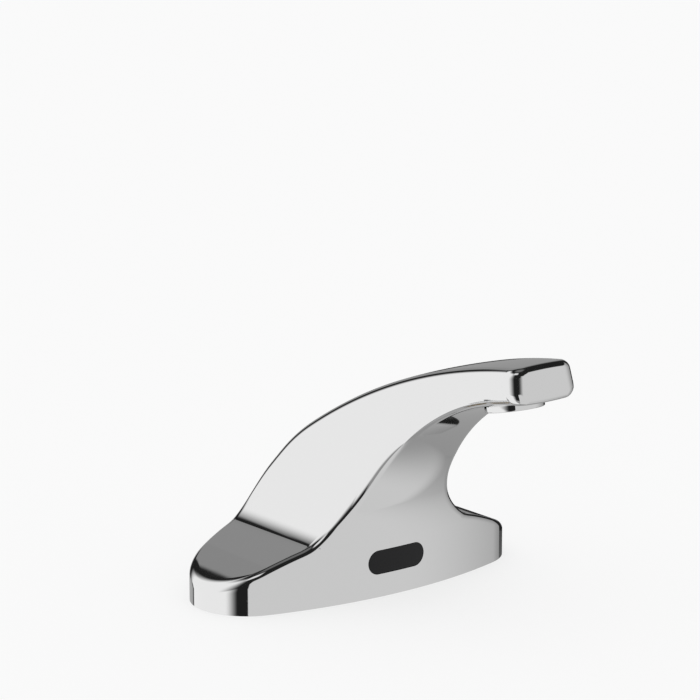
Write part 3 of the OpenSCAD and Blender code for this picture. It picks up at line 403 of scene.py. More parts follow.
def wrap_rows(bm, rows, where=Matrix.Identity(4)):
    """Rolls a grid into a closed skin: each row of it follows one ring of points."""
    steps = len(rows[0])
    made = bmesh.ops.create_grid(bm, x_segments=steps, y_segments=len(rows) - 1, size=1)["verts"]
    for index, vert in enumerate(made):
        row, column = divmod(index, steps + 1)
        vert.co = where @ Vector(rows[row][column % steps])
    bmesh.ops.remove_doubles(bm, verts=made, dist=FINE_WELD)


def ring(radius, z, steps):
    """A ring of points. The radius is one length, or a function of the share of a turn."""
    turned = [k / steps for k in range(steps)]
    radii = [radius(t) if callable(radius) else radius for t in turned]
    return [(r * math.cos(2 * math.pi * t), r * math.sin(2 * math.pi * t), z)
            for r, t in zip(radii, turned)]


def thread_rows(radius, low, high, pitch, steps):
    """Rings of a 60 degree thread between two heights, chamfered at both ends."""
    depth, count = THREAD_DEPTH * pitch, round((high - low) / pitch * THREAD_ROWS)
    heights = [low + (high - low) * k / count for k in range(count + 1)]

    def worn(z, share):
        """Radius at a height: flat crests and floors, and a cone at either end."""
        off_crest = abs((z / pitch - share) % 1 - 0.5)
        cut = depth * min(max(off_crest - 1 / 16, 0) * 8 / 3, 1)
        return min(radius - cut, radius - depth + min(z - low, high - z))

    return [ring(lambda t: worn(z, t), z, steps) for z in heights]


def hexagon(flats):
    """Radius of a hexagon at each share of a turn, from its width across flats."""
    return lambda t: flats / 2 / math.cos((2 * math.pi * t) % (math.pi / 3) - math.pi / 6)


def nut_rows(flats, bore, low, high, steps=ROUND_STEPS):
    """Rings of a hexagon nut with both ends chamfered."""
    edge, slope = NUT_CORNER * flats, math.tan(math.radians(60))
    depth = (flats / math.sqrt(3) - edge) / slope
    drops = [depth * k / NUT_ROWS for k in range(NUT_ROWS + 1)]

    def worn(drop, z):
        return ring(lambda t: min(hexagon(flats)(t), edge + drop * slope), z, steps)

    return [ring(bore, low, steps), *(worn(d, low + d) for d in drops),
            *(worn(d, high - d) for d in reversed(drops)), ring(bore, high, steps),
            ring(bore, low, steps)]


def washer_profile(outside, hole, low, high, chamfer):
    """Section of a flat washer with its outer edges turned off."""
    return [(hole, low), (outside - chamfer, low), (outside, low + chamfer),
            (outside, high - chamfer), (outside - chamfer, high), (hole, high)]


def screw_rows(radius, depth, head, head_height, pitch, chamfer, steps=SCREW_STEPS):
    """Rings of a screw with a hexagon socket. Its head stands on z = 0, its thread hangs below."""
    socket, floor = hexagon(SOCKET_WIDTH * head), SOCKET_FLOOR * head_height
    return [ring(0, -depth, steps), *thread_rows(radius, -depth, 0, pitch, steps),
            ring(head, 0, steps), ring(head, head_height - chamfer, steps),
            ring(head - chamfer, head_height, steps), ring(socket, head_height, steps),
            ring(socket, floor, steps), ring(0, floor, steps)]


# ---- The cast body ---------------------------------------------------------------------------

class Form:
    """The body's outside as one signed distance, worked out from the sizes in TapForm."""

    def __init__(self, s):
        self.s = s
        self.half_w, self.half_d = s.base_width / 2, s.base_depth / 2
        self.end_x = self.half_w - s.base_end
        self.face_r = ((self.end_x ** 2 + self.half_d ** 2 - s.base_end ** 2)
                       / (s.base_depth - 2 * s.base_end))
        self.pivot = self.face_r - self.half_d
        self.end_turn = math.asin(self.end_x / (self.face_r - s.base_end))
        fall = s.crease_height - s.wing_end
        self.wing_z = (s.crease_height + s.wing_end
                       - (self.half_w ** 2 - s.crease_offset ** 2) / fall) / 2
        self.wing_r = math.hypot(s.crease_offset, s.crease_height - self.wing_z)
        self.neck_x = s.waist + s.neck_radius
        self.neck_z = s.crease_height + math.sqrt(
            s.neck_radius ** 2 - (self.neck_x - s.crease_offset) ** 2)
        self.crease_turn = math.atan2(self.neck_z - s.crease_height, self.neck_x - s.crease_offset)
        self.joint_z = self.neck_z - s.neck_radius * math.sin(s.side_taper)
        self.joint_x = self.neck_x - s.neck_radius * math.cos(s.side_taper)
        # The front and the back are followed in (u, z), where u is the distance forwards
        self.low_c = np.array([self.half_d + s.front_low, s.front_rise])
        turn_p = self.low_c + s.front_low * self.way(s.front_turn, -1)
        self.high_c = turn_p - s.front_high * self.way(s.front_turn, -1)
        self.lip_p = self.high_c + s.front_high * self.way(math.pi / 2 - s.tip_tilt, -1)
        self.bend_c = np.array([s.back_bend - self.half_d, s.back_rise])
        self.mid_c = self.bend_c - (s.shoulder_radius - s.back_bend) * self.way(s.back_turn, -1)
        self.top_turn = s.back_turn + s.shoulder_turn
        self.top_c = self.mid_c - (s.top_radius - s.shoulder_radius) * self.way(self.top_turn, -1)
        self.along = np.array([math.cos(s.tip_tilt), math.sin(s.tip_tilt)])
        self.across = np.array([-math.sin(s.tip_tilt), math.cos(s.tip_tilt)])
        rise = (s.spout_reach - self.lip_p[0]) * math.tan(s.tip_tilt)
        self.outlet = np.array([s.spout_reach, self.lip_p[1] + rise])

    @staticmethod
    def way(angle, side=1):
        """One unit in (u, z) at that angle above u, or above -u for side -1."""
        return np.array([side * math.cos(angle), math.sin(angle)])

    def sag(self, x):
        """How far the bowed front and back fall away beside the middle."""
        return self.face_r - np.sqrt(self.face_r ** 2 - x * x)

    def front(self, u, z):
        """Distance ahead of the front: upright, two bends, then straight under the spout."""
        s = self.s
        du, dz = self.low_c[0] - u, z - self.low_c[1]
        low = s.front_low - np.hypot(du, dz)
        hu, hz = self.high_c[0] - u, z - self.high_c[1]
        high = s.front_high - np.hypot(hu, hz)
        straight = -((u - self.lip_p[0]) * self.across[0] + (z - self.lip_p[1]) * self.across[1])
        bent = np.where(np.arctan2(dz, du) < s.front_turn, low,
                        np.where(np.arctan2(hz, hu) < math.pi / 2 - s.tip_tilt, high, straight))
        return np.where(z < s.front_rise, u - self.half_d, bent)

    def back(self, u, z):
        """Distance behind the back: upright, its bend, the shoulder, then the long top."""
        s = self.s
        du, dz = self.bend_c[0] - u, z - self.bend_c[1]
        mu, mz = self.mid_c[0] - u, z - self.mid_c[1]
        tu, tz = self.top_c[0] - u, z - self.top_c[1]
        shoulder = np.where(np.arctan2(mz, mu) < self.top_turn,
                            np.hypot(mu, mz) - s.shoulder_radius, np.hypot(tu, tz) - s.top_radius)
        bent = np.where(np.arctan2(dz, du) < s.back_turn, np.hypot(du, dz) - s.back_bend, shoulder)
        return np.where(z < s.back_rise, -u - self.half_d, bent)

    def outline(self, x, z):
        """Distance outside the shape seen from the front: one arc of wings, or the hollow neck."""
        s = self.s
        wing = np.hypot(x, z - self.wing_z) - self.wing_r
        nx, nz = self.neck_x - x, self.neck_z - z
        turned = np.arctan2(nz, nx)
        hollow = s.neck_radius - np.hypot(nx, nz)
        beyond = ((x - s.crease_offset) * math.cos(self.crease_turn)
                  + (z - s.crease_height) * math.sin(self.crease_turn))
        taper = ((x - self.joint_x) * math.cos(s.side_taper)
                 + (z - self.joint_z) * math.sin(s.side_taper))
        neck = np.where(turned > self.crease_turn, beyond,
                        np.where(turned > s.side_taper, hollow, taper))
        soft = np.clip(s.crease_soft - np.abs(wing - neck), 0, None) / s.crease_soft
        return np.minimum(wing, neck) - soft * soft * s.crease_soft / 4

    def low_edge_at(self, u, z):
        """Radius of the front and lower edges: it grows along the front, up to the tip."""
        s = self.s
        low = np.arctan2(z - self.low_c[1], self.low_c[0] - u)
        high = np.arctan2(z - self.high_c[1], self.high_c[0] - u)
        turned = np.where(low < s.front_turn, low, np.maximum(high, s.front_turn))
        share = np.clip(turned / (math.pi / 2 - s.tip_tilt), 0, 1)
        return s.edge + (s.low_edge - s.edge) * share

    def top_edge_at(self, z):
        """Radius of the back and upper edges: it grows above the crease."""
        s = self.s
        share = np.clip((z - s.crease_height) / s.top_edge_rise, 0, 1)
        return s.edge + (s.top_edge - s.edge) * share * share * (3 - 2 * share)

    def distance(self, p):
        """Signed distance from points to the outside, below zero in the metal."""
        s = self.s
        x, u, z = np.abs(p[:, 0]), -p[:, 1], p[:, 2]
        lane = self.face_r * math.sin(self.end_turn)
        inner = np.minimum(x, lane)
        slope = inner / np.sqrt(self.face_r ** 2 - inner ** 2)
        front, back = self.front(u, z), self.back(u, z)
        long_wall = (np.maximum(front, back) + self.sag(inner)) / np.sqrt(1 + slope * slope)
        wall = np.where(x > lane, np.hypot(x - self.end_x, u) - s.base_end, long_wall)
        tip = ((u - self.outlet[0]) * self.along[0] + (z - self.outlet[1]) * self.along[1]
               - s.tip_ahead)
        side = self.outline(x, z)
        sides = rounded(side, tip, s.tip_corner)
        ahead, beside = (np.maximum(d + s.tip_corner, 0) for d in (tip, side))
        near_tip = ahead / (ahead + beside + TINY)
        edge = np.where(front > back, self.low_edge_at(u, z), self.top_edge_at(z))
        return rounded(sides, wall, edge + (s.tip_edge - edge) * near_tip)

    def slope(self, p):
        """Direction in which the distance grows fastest, one unit long."""
        grown = np.empty_like(p)
        for axis in range(3):
            move = np.zeros(3)
            move[axis] = PROBE
            grown[:, axis] = self.distance(p + move) - self.distance(p - move)
        return grown / np.maximum(np.linalg.norm(grown, axis=1, keepdims=True), TINY)

    def settle(self, p, level=0.0, rounds=12):
        """Moves points along the slope until they lie at that distance."""
        for _ in range(rounds):
            p = p - (self.distance(p) - level)[:, None] * self.slope(p)
        return p

    # Loops of points from the deck up to the tip, each a closed walk round the body

    def half_loop(self, station, low_edge, inset=0.0, side_inset=0.0):
        """Half of a loop of neck or spout, from the middle of its front to that of its back."""
        front, back = (np.array(end) for end in station)
        span = np.linalg.norm(back - front)
        way = (back - front) / span
        f, g = (max(r - inset, r / 8) for r in (low_edge, float(self.top_edge_at(back[1]))))

        def at(x, d):
            return [x, -(front[0] + way[0] * d), front[1] + way[1] * d]

        def wide(d):
            z = front[1] + way[1] * d
            if z < self.joint_z:
                side = self.neck_x - math.sqrt(self.s.neck_radius ** 2 - (self.neck_z - z) ** 2)
            else:
                side = self.joint_x - (z - self.joint_z) * math.tan(self.s.side_taper)
            return side - side_inset

        wf, wb = wide(f) - f, wide(span - g) - g
        low, top = inset + self.sag(wf) + f, span - inset - self.sag(wb) - g
        half = []
        for k in range(FACE_STEPS + 1):
            x = wf * k / FACE_STEPS
            half.append(at(x, inset + self.sag(x)))
        for k in range(1, EDGE_STEPS + 1):
            a = math.pi / 2 * k / EDGE_STEPS
            half.append(at(wf + f * math.sin(a), low - f * math.cos(a)))
        for k in range(1, SIDE_STEPS):
            d = low + (top - low) * k / SIDE_STEPS
            half.append(at(wide(d), d))
        for k in range(EDGE_STEPS + 1):
            a = math.pi / 2 * k / EDGE_STEPS
            half.append(at(wb + g * math.cos(a), top + g * math.sin(a)))
        for k in range(1, FACE_STEPS + 1):
            x = wb * (1 - k / FACE_STEPS)
            half.append(at(x, span - inset - self.sag(x)))
        return np.array(half)

    def plan_half(self):
        """Half of the base's plan: points and the way that the wall faces, from front to back."""
        s = self.s
        start = math.asin((s.crease_offset - s.edge) / self.face_r)
        wide_l = (self.end_turn - start) * self.face_r
        round_l = (math.pi - 2 * self.end_turn) * s.base_end

        def wide(a):
            return [self.face_r * math.sin(a), self.pivot - self.face_r * math.cos(a),
                    math.sin(a), -math.cos(a)]

        def mirrored(p):
            return [p[0], -p[1], p[2], -p[3]]

        points = [wide(start * k / FACE_STEPS) for k in range(FACE_STEPS + 1)]
        ends = 2 * EDGE_STEPS + SIDE_STEPS
        total = 2 * wide_l + round_l
        for k in range(1, ends):
            d = total * k / ends
            if d < wide_l:
                points.append(wide(start + d / self.face_r))
            elif d > wide_l + round_l:
                points.append(mirrored(wide(start + (total - d) / self.face_r)))
            else:
                a = self.end_turn - math.pi / 2 + (d - wide_l) / s.base_end
                points.append([self.end_x + s.base_end * math.cos(a), s.base_end * math.sin(a),
                               math.cos(a), math.sin(a)])
        points += [mirrored(wide(start * (1 - k / FACE_STEPS))) for k in range(FACE_STEPS + 1)]
        return np.array(points)

    def wing_top(self, x):
        """Height of the wings: one arc from the crease outwards, level inside it."""
        s = self.s
        flat = np.minimum(x, s.crease_offset)
        return np.where(x > s.crease_offset,
                        self.wing_z + np.sqrt(self.wing_r ** 2 - np.maximum(x, flat) ** 2),
                        s.crease_height)

    def half_loops(self):
        """All half loops from the deck to the middle of the tip's face."""
        s = self.s
        plan = self.plan_half()
        x, y, nx, ny = plan.T
        top = self.wing_top(x)
        loops = [np.column_stack([x, y, (top - s.edge) * k / WALL_ROWS]) for k in range(WALL_ROWS)]
        inset = np.clip((x - s.crease_offset + 2 * s.edge) / s.edge, 0, 1)
        for k in range(EDGE_STEPS + 1):
            a = math.pi / 2 * k / EDGE_STEPS
            inwards = inset * s.edge * (1 - math.cos(a))
            loops.append(np.column_stack([x - inwards * nx, y - inwards * ny,
                                          top - s.edge * (1 - math.sin(a))]))
        rise = math.asin((s.crease_height - s.front_rise) / s.front_low)
        up_l = s.back_rise - s.crease_height
        arcs = ((self.bend_c, s.back_bend, 0, s.back_turn),
                (self.mid_c, s.shoulder_radius, s.back_turn, s.shoulder_turn),
                (self.top_c, s.top_radius, self.top_turn, 1))

        def back_at(d):
            """Point of the back that far above the crease, along the profile."""
            if d < up_l:
                return np.array([-self.half_d, s.crease_height + d])
            d -= up_l
            for centre, radius, begin, turned in arcs:
                if d < radius * turned:
                    break
                d -= radius * turned
            return centre + radius * self.way(begin + d / radius, -1)

        def leave(point, way):
            """Where a line from a point leaves the back, and how far along the back that is."""
            d = up_l
            for centre, radius, begin, turned in arcs:
                near = (point - centre) @ way
                reach = near ** 2 - (point - centre) @ (point - centre) + radius ** 2
                end = point + way * (math.sqrt(max(reach, 0)) - near)
                angle = math.atan2(end[1] - centre[1], centre[0] - end[0])
                if reach > 0 and begin <= angle < begin + turned:
                    return end, d + radius * (angle - begin)
                d += radius * turned
            raise ValueError("the line misses the back")

        bent_way = self.way(s.front_turn, -1)
        back_l = leave(self.high_c + s.front_high * bent_way, bent_way)[1]

        def low_station(share):
            a = rise + (s.front_turn - rise) * share
            return self.low_c + s.front_low * self.way(a, -1), back_at(back_l * share)

        outer, inner = loops[-1], self.half_loop(low_station(0), s.edge)
        for k in range(1, WING_ROWS):
            between = outer + (inner - outer) * k / WING_ROWS
            on_wing = (outer[:, 0] > s.crease_offset) & (inner[:, 0] > s.crease_offset - CREASE_SLACK)
            between[:, 2] = np.where(on_wing, self.wing_top(between[:, 0]), between[:, 2])
            loops.append(between)
        for k in range(LOW_ROWS):
            front, end = low_station(k / LOW_ROWS)
            loops.append(self.half_loop((front, end), float(self.low_edge_at(*front))))
        last = math.pi / 2 - s.tip_tilt
        for k in range(HIGH_ROWS):
            way = self.way(s.front_turn + (last - s.front_turn) * k / HIGH_ROWS, -1)
            front = self.high_c + s.front_high * way
            edge = float(self.low_edge_at(*front))
            loops.append(self.half_loop((front, leave(front, way)[0]), edge))

        def across_tip(ahead, inset=0.0, side_inset=0.0):
            front = self.outlet + ahead * self.along
            back = leave(front, self.across)[0]
            return self.half_loop((front, back), s.low_edge, inset, side_inset)

        start = (self.lip_p - self.outlet) @ self.along
        flat = s.tip_ahead - s.tip_corner
        loops += [across_tip(start + (flat - start) * k / TIP_ROWS) for k in range(TIP_ROWS)]
        for k in range(CORNER_ROWS + 1):
            a = math.pi / 2 * k / CORNER_ROWS
            short = s.tip_corner * (1 - math.sin(a))
            b = math.asin(max(0, 1 - short / s.tip_edge))
            loops.append(across_tip(s.tip_ahead - short, s.tip_edge * (1 - math.cos(b)),
                                    s.tip_corner * (1 - math.cos(a))))
        rim = loops[-1]
        middle = rim.mean(axis=0) * (0, 1, 1)
        for k in range(1, CAP_ROWS + 1):
            loops.append(middle + (rim - middle) * (1 - k / (CAP_ROWS + 0.4)))
        return loops


def rounded(a, b, radius):
    """The larger of two distances, with the edge between them rounded."""
    both = np.hypot(np.maximum(a + radius, 0), np.maximum(b + radius, 0))
    return np.minimum(np.maximum(a, b), -radius) + both


def wrap_grid(bm, half_loops):
    """Rolls a grid round the body: each row of it follows one loop."""
    rows = [np.vstack([h, (h * (-1, 1, 1))[-2::-1]]) for h in half_loops]
    count = len(rows[0])
    made = bmesh.ops.create_grid(bm, x_segments=count - 1, y_segments=len(rows) - 1, size=1)
    for vert, co in zip(made["verts"], np.vstack(rows)):
        vert.co = co
    bmesh.ops.remove_doubles(bm, verts=bm.verts, dist=WELD)


def skin(form, level, half_loops):
    """A bmesh of the body's surface at that distance, open at the deck and at its last loop."""
    bm = bmesh.new()
    rows = [form.settle(h, level) for h in half_loops]
    for row in rows:
        row[[0, -1], 0] = 0
    wrap_grid(bm, rows)
    return bm


def fill_ends(bm):
    """Closes the open rims with flat faces."""
    rims = [e for e in bm.edges if e.is_boundary]
    bmesh.ops.holes_fill(bm, edges=rims, sides=0)
    bmesh.ops.triangulate(bm, faces=[f for f in bm.faces if len(f.verts) > 4])


def cut(obj, cutter):
    """Takes the cutter's room out of the piece and removes the cutter."""
    tool = obj.modifiers.new("cut", "BOOLEAN")
    tool.object, tool.operation, tool.solver = cutter, "DIFFERENCE", "EXACT"
    bpy.context.view_layer.update()
    seen = obj.evaluated_get(bpy.context.evaluated_depsgraph_get())
    changed = bpy.data.meshes.new_from_object(seen)
    obj.modifiers.remove(tool)
    obj.data = changed
    bpy.data.objects.remove(cutter)


def as_cutter(bm):
    """Turns a bmesh into an object for cut(), which removes it again."""
    bmesh.ops.recalc_face_normals(bm, faces=bm.faces)
    mesh = bpy.data.meshes.new("cutter")
    bm.to_mesh(mesh)
    bm.free()
    obj = bpy.data.objects.new("cutter", mesh)
    bpy.context.scene.collection.objects.link(obj)
    return obj


def true_normals(mesh, form):
    """Gives the outside the normals of the form itself, so that reflections run smoothly."""
    co = np.empty(len(mesh.vertices) * 3)
    mesh.vertices.foreach_get("co", co)
    co = co.reshape(-1, 3)
    on_skin = np.abs(form.distance(co)) < ON_SKIN
    ways = form.slope(co)
    corner = np.empty(len(mesh.loops), int)
    mesh.loops.foreach_get("vertex_index", corner)
    flat = np.empty(len(mesh.polygons) * 3)
    mesh.polygons.foreach_get("normal", flat)
    sizes = np.empty(len(mesh.polygons), int)
    mesh.polygons.foreach_get("loop_total", sizes)
    face = np.repeat(np.arange(len(sizes)), sizes)
    flat = flat.reshape(-1, 3)[face]
    normals = ways[corner]
    good = on_skin[corner] & ((normals * flat).sum(axis=1) > SAME_WAY)
    normals = np.where(good[:, None], normals, flat)
    mesh.shade_smooth()
    mesh.normals_split_custom_set(normals.tolist())


def oval_block(bm, width, height, middle_z, y_from, y_to):
    """A flat oval with round ends, standing upright between two depths."""
    r = height / 2
    made = bmesh.ops.create_circle(bm, cap_ends=True, segments=ROUND_STEPS, radius=r)["verts"]
    for v in made:
        v.co = (v.co.x + math.copysign(width / 2 - r, v.co.x), y_from, middle_z + v.co.y)
    grown = bmesh.ops.extrude_face_region(bm, geom=[f for f in bm.faces if made[0] in f.verts])
    bmesh.ops.translate(bm, vec=(0, y_to - y_from, 0),
                        verts=[g for g in grown["geom"] if isinstance(g, bmesh.types.BMVert)])


def outlet_place(form):
    """Places a piece at the outlet: local +Z is up along its axis."""
    return (Matrix.Translation((0, -form.outlet[0], form.outlet[1]))
            @ Matrix.Rotation(-form.s.tip_tilt, 4, "X"))


class TAP_OT_body(bpy.types.Operator):
    """Builds the chromed body: a hollow casting with rounded edges and its openings"""
    bl_idname = "tap.body"
    bl_label = "Cast body"
    bl_options = {"REGISTER", "UNDO"}

    def execute(self, context):
        form = Form(context.scene.tap_form)
        loops = form.half_loops()
        outer = skin(form, 0.0, loops)
        fill_ends(outer)
        body = keep(outer, "body_shell", "body_casting")
        rows = len(loops) - TIP_ROWS - CORNER_ROWS - CAP_ROWS - ROOM_SHORT
        room = skin(form, -form.s.wall, [self.inwards(form, half) for half in loops[:rows]])
        low = min(v.co.z for v in room.verts)
        for v in room.verts:
            if v.co.z < low + LEVEL:
                v.co.z = -form.s.wall
        fill_ends(room)
        cut(body, as_cutter(room))
        self.cut_openings(form, context.scene.tap_fittings, body)
        true_normals(body.data, form)
        return {"FINISHED"}

    @staticmethod
    def inwards(form, half):
        """A half loop moved through the wall, for the hollow."""
        return half - form.s.wall * form.slope(form.settle(half))

    @staticmethod
    def cut_openings(form, f, body):
        """Cuts the window's opening, and the outlet's seat with its threaded hole."""
        gap, middle_z = 2 * f.fit_gap, (WINDOW_LOW.z + WINDOW_HIGH.z) / 2
        opening = bmesh.new()
        oval_block(opening, f.window_width + gap, f.window_height + gap, middle_z,
                   -form.half_d - form.s.wall, -form.half_d + 2 * form.s.wall)
        cut(body, as_cutter(opening))
        seat = bmesh.new()
        wide, low = RING_HIGH.x + f.ring_seat, -1.5 * f.ring_height
        lathe(seat, [(0, low), (wide, low), (wide, 0), (f.outlet_thread, 0),
                     (f.outlet_thread, f.outlet_depth), (0, f.outlet_depth)],
              where=outlet_place(form))
        bmesh.ops.remove_doubles(seat, verts=seat.verts, dist=WELD)
        cut(body, as_cutter(seat))


# ---- Window, outlet ring, threads, screws and coils ------------------------------------------

class TAP_OT_window(bpy.types.Operator):
    """Builds the black window, bowed like the wall that it stands in"""
    bl_idname = "tap.window"
    bl_label = "Sensor window"
    bl_options = {"REGISTER", "UNDO"}

    def execute(self, context):
        form, f = Form(context.scene.tap_form), context.scene.tap_fittings
        middle_z = (WINDOW_LOW.z + WINDOW_HIGH.z) / 2
        rear = WINDOW_HIGH.y
        shoulder = rear - f.window_flange_depth

        def oval(grow, inset, y):
            """A ring of points round the window; y is one depth, or a function of x."""
            r = f.window_height / 2 + grow - inset
            half = (f.window_width - f.window_height) / 2
            turns = [math.pi * k / OVAL_STEPS for k in range(OVAL_STEPS)]
            flats = [half * (1 - 2 * k / OVAL_STEPS) for k in range(OVAL_STEPS)]
            points = ([(half + r * math.sin(a), -r * math.cos(a)) for a in turns]
                      + [(x, r) for x in flats]
                      + [(-half - r * math.sin(a), r * math.cos(a)) for a in turns]
                      + [(-x, -r) for x in flats])
            return [(x, y(x) if callable(y) else y, middle_z + z) for x, z in points]

        def face(drop):
            """Depth at x of the bowed face, or of an edge that lies behind it."""
            radius = form.face_r - f.fit_gap
            return lambda x: form.pivot - math.sqrt(radius ** 2 - x * x) + drop

        closed, flange = f.window_height / 2, f.window_flange
        edge_rows, face_rows = 5, 4
        turns = [math.pi / 2 * k / edge_rows for k in range(edge_rows + 1)]
        rows = [oval(0, closed, rear), oval(flange, 0, rear), oval(flange, 0, shoulder),
                oval(0, 0, shoulder)]
        rows += [oval(0, f.window_edge * (1 - math.cos(a)), face(f.window_edge * (1 - math.sin(a))))
                 for a in turns]
        rows += [oval(0, closed * k / face_rows, face(0)) for k in range(1, face_rows + 1)]
        bm = bmesh.new()
        wrap_rows(bm, rows)
        keep(bm, "bowed_window", "sensor_window")
        return {"FINISHED"}


class TAP_OT_outlet(bpy.types.Operator):
    """Turns the chromed ring that holds the spray insert"""
    bl_idname = "tap.outlet"
    bl_label = "Outlet ring"
    bl_options = {"REGISTER", "UNDO"}

    def execute(self, context):
        form, f = Form(context.scene.tap_form), context.scene.tap_fittings
        outside, low, edge = RING_HIGH.x, -f.ring_height, f.ring_edge
        edge_rows = 6
        turns = [math.pi / 2 * k / edge_rows for k in range(edge_rows + 1)]
        thread, inside = f.outlet_thread - f.fit_gap / 2, f.outlet_thread - f.ring_wall
        top = f.outlet_depth - f.outlet_washer
        bm = bmesh.new()
        lathe(bm, [(f.ring_lip, low + edge), (f.ring_lip + edge, low)]
              + [(outside - edge + edge * math.sin(a), low + edge - edge * math.cos(a)) for a in turns]
              + [(outside, 0), (thread, 0), (thread, top), (inside, top),
                 (inside, low / 2), (f.ring_lip, low / 2)], RING_STEPS, outlet_place(form))
        keep(bm, "outlet_ring", "aerator_housing")
        return {"FINISHED"}


class TAP_OT_mounting(bpy.types.Operator):
    """Cuts the threads of studs and shank, with their nuts and washers"""
    bl_idname = "tap.mounting"
    bl_label = "Studs and shank"
    bl_options = {"REGISTER", "UNDO"}

    def execute(self, context):
        f = context.scene.tap_fittings
        self.make_studs(f)
        self.make_shank(f)
        return {"FINISHED"}

    @staticmethod
    def make_studs(f):
        radius, thread, steps = STUD_HIGH.y, STUD_HIGH.y - f.fit_gap, STUD_STEPS
        low, high = (-f.deck - f.stud_plain) / 2, (-f.deck + f.stud_plain) / 2
        flats = STUD_NUT_HIGH.y - STUD_NUT_LOW.y
        studs, nuts, washers = bmesh.new(), bmesh.new(), bmesh.new()
        stud_rows = [ring(0, STUD_LOW.z, steps),
                     *thread_rows(thread, STUD_LOW.z, low, f.stud_pitch, steps),
                     ring(radius, low, steps), ring(radius, high, steps),
                     *thread_rows(thread, high, STUD_HIGH.z, f.stud_pitch, steps),
                     ring(0, STUD_HIGH.z, steps)]
        for side in (-1, 1):
            place = Matrix.Translation((side * f.stud_spacing / 2, 0, 0))
            wrap_rows(studs, stud_rows, place)
            wrap_rows(nuts, nut_rows(flats, thread + f.fit_gap / 2, STUD_NUT_LOW.z,
                                     STUD_NUT_HIGH.z), place)
            lathe(washers, washer_profile(STUD_WASHER_HIGH.y, radius + f.fit_gap, STUD_WASHER_LOW.z,
                                          STUD_WASHER_HIGH.z, f.chamfer), where=place)
        keep(studs, "threaded_studs", "mounting_studs")
        keep(nuts, "chamfered_stud_nuts", "stud_nuts")
        keep(washers, "chamfered_stud_washers", "stud_washers")

    @staticmethod
    def make_shank(f):
        steps, place = ROUND_STEPS, Matrix.Translation((0, f.valve_axis, 0))
        tail_top, valve_low = SHANK_LOW.z + f.shank_tail, f.collar_base + f.collar_height
        groove = (valve_low + SHANK_HIGH.z - f.groove_width) / 2
        collar, spigot, top = SHANK_HIGH.x, f.spigot_radius, SHANK_HIGH.z
        plain = [(f.shank_radius, -f.deck), (f.shank_radius, f.collar_base), (collar, f.collar_base),
                 (collar, valve_low), (spigot, valve_low), (spigot, groove), (f.groove_radius, groove),
                 (f.groove_radius, groove + f.groove_width), (spigot, groove + f.groove_width),
                 (spigot, top - f.chamfer), (spigot - f.chamfer, top), (f.shank_bore, top),
                 (f.shank_bore, SHANK_LOW.z)]
        shank, nut, washer = bmesh.new(), bmesh.new(), bmesh.new()
        wrap_rows(shank, [ring(f.shank_bore, SHANK_LOW.z, steps),
                          *thread_rows(f.shank_tail_radius, SHANK_LOW.z, tail_top, f.shank_pitch, steps),
                          *thread_rows(f.shank_radius, tail_top, -f.deck, f.shank_pitch, steps),
                          *(ring(r, z, steps) for r, z in plain)], place)
        keep(shank, "threaded_shank", "inlet_shank")
        flats = SHANK_NUT_HIGH.y - SHANK_NUT_LOW.y
        wrap_rows(nut, nut_rows(flats, f.shank_radius + f.fit_gap / 2, SHANK_NUT_LOW.z,
                                SHANK_NUT_HIGH.z), place)
        keep(nut, "chamfered_shank_nut", "shank_nut")
        lathe(washer, washer_profile(SHANK_WASHER_HIGH.x, f.shank_radius + 2 * f.fit_gap,
                                     SHANK_WASHER_LOW.z, SHANK_WASHER_HIGH.z, f.chamfer), where=place)
        keep(washer, "chamfered_shank_washer", "shank_washer")


class TAP_OT_screws(bpy.types.Operator):
    """Cuts the threads and sockets of all screws"""
    bl_idname = "tap.screws"
    bl_label = "Screws"
    bl_options = {"REGISTER", "UNDO"}

    def execute(self, context):
        f = context.scene.tap_fittings
        down, back = Matrix.Rotation(math.pi, 4, "X"), Matrix.Rotation(-math.pi / 2, 4, "X")
        low, high = LUG_SCREW_LOW, LUG_SCREW_HIGH
        self.make("socket_plate_screws", "plate_screws", f, f.lug_screw, high.z - low.z,
                  f.lug_head, f.lug_head_height,
                  [Matrix.Translation((x, y, low.z + f.lug_head_height)) @ down
                   for x, y in self.corners(low, high, f.lug_head)])
        low, high = BONNET_SCREW_LOW, BONNET_SCREW_HIGH
        self.make("socket_bonnet_screws", "bonnet_screws", f, f.bonnet_screw, high.z - low.z,
                  f.bonnet_head, f.bonnet_head_height,
                  [Matrix.Translation((x, y, high.z - f.bonnet_head_height))
                   for x, y in self.corners(low, high, f.bonnet_head)])
        low, high = POST_SCREW_LOW, POST_SCREW_HIGH
        self.make("socket_bracket_screws", "bracket_screws", f, f.post_screw, high.y - low.y,
                  f.post_head, f.post_head_height,
                  [Matrix.Translation((x, high.y - f.post_head_height, (low.z + high.z) / 2)) @ back
                   for x in (low.x + f.post_head, high.x - f.post_head)])
        return {"FINISHED"}

    @staticmethod
    def make(name, cad_node, f, radius, overall, head, head_height, places):
        """Cuts one kind of screw at all its places. A place is where the head meets the thread."""
        rows = screw_rows(radius, overall - head_height, head, head_height, f.screw_pitch, f.chamfer)
        bm = bmesh.new()
        for place in places:
            wrap_rows(bm, rows, place)
        keep(bm, name, cad_node)

    @staticmethod
    def corners(low, high, inset):
        """The four places that lie that far inside a box, seen from above."""
        return [(x, y) for x in (low.x + inset, high.x - inset)
                for y in (low.y + inset, high.y - inset)]


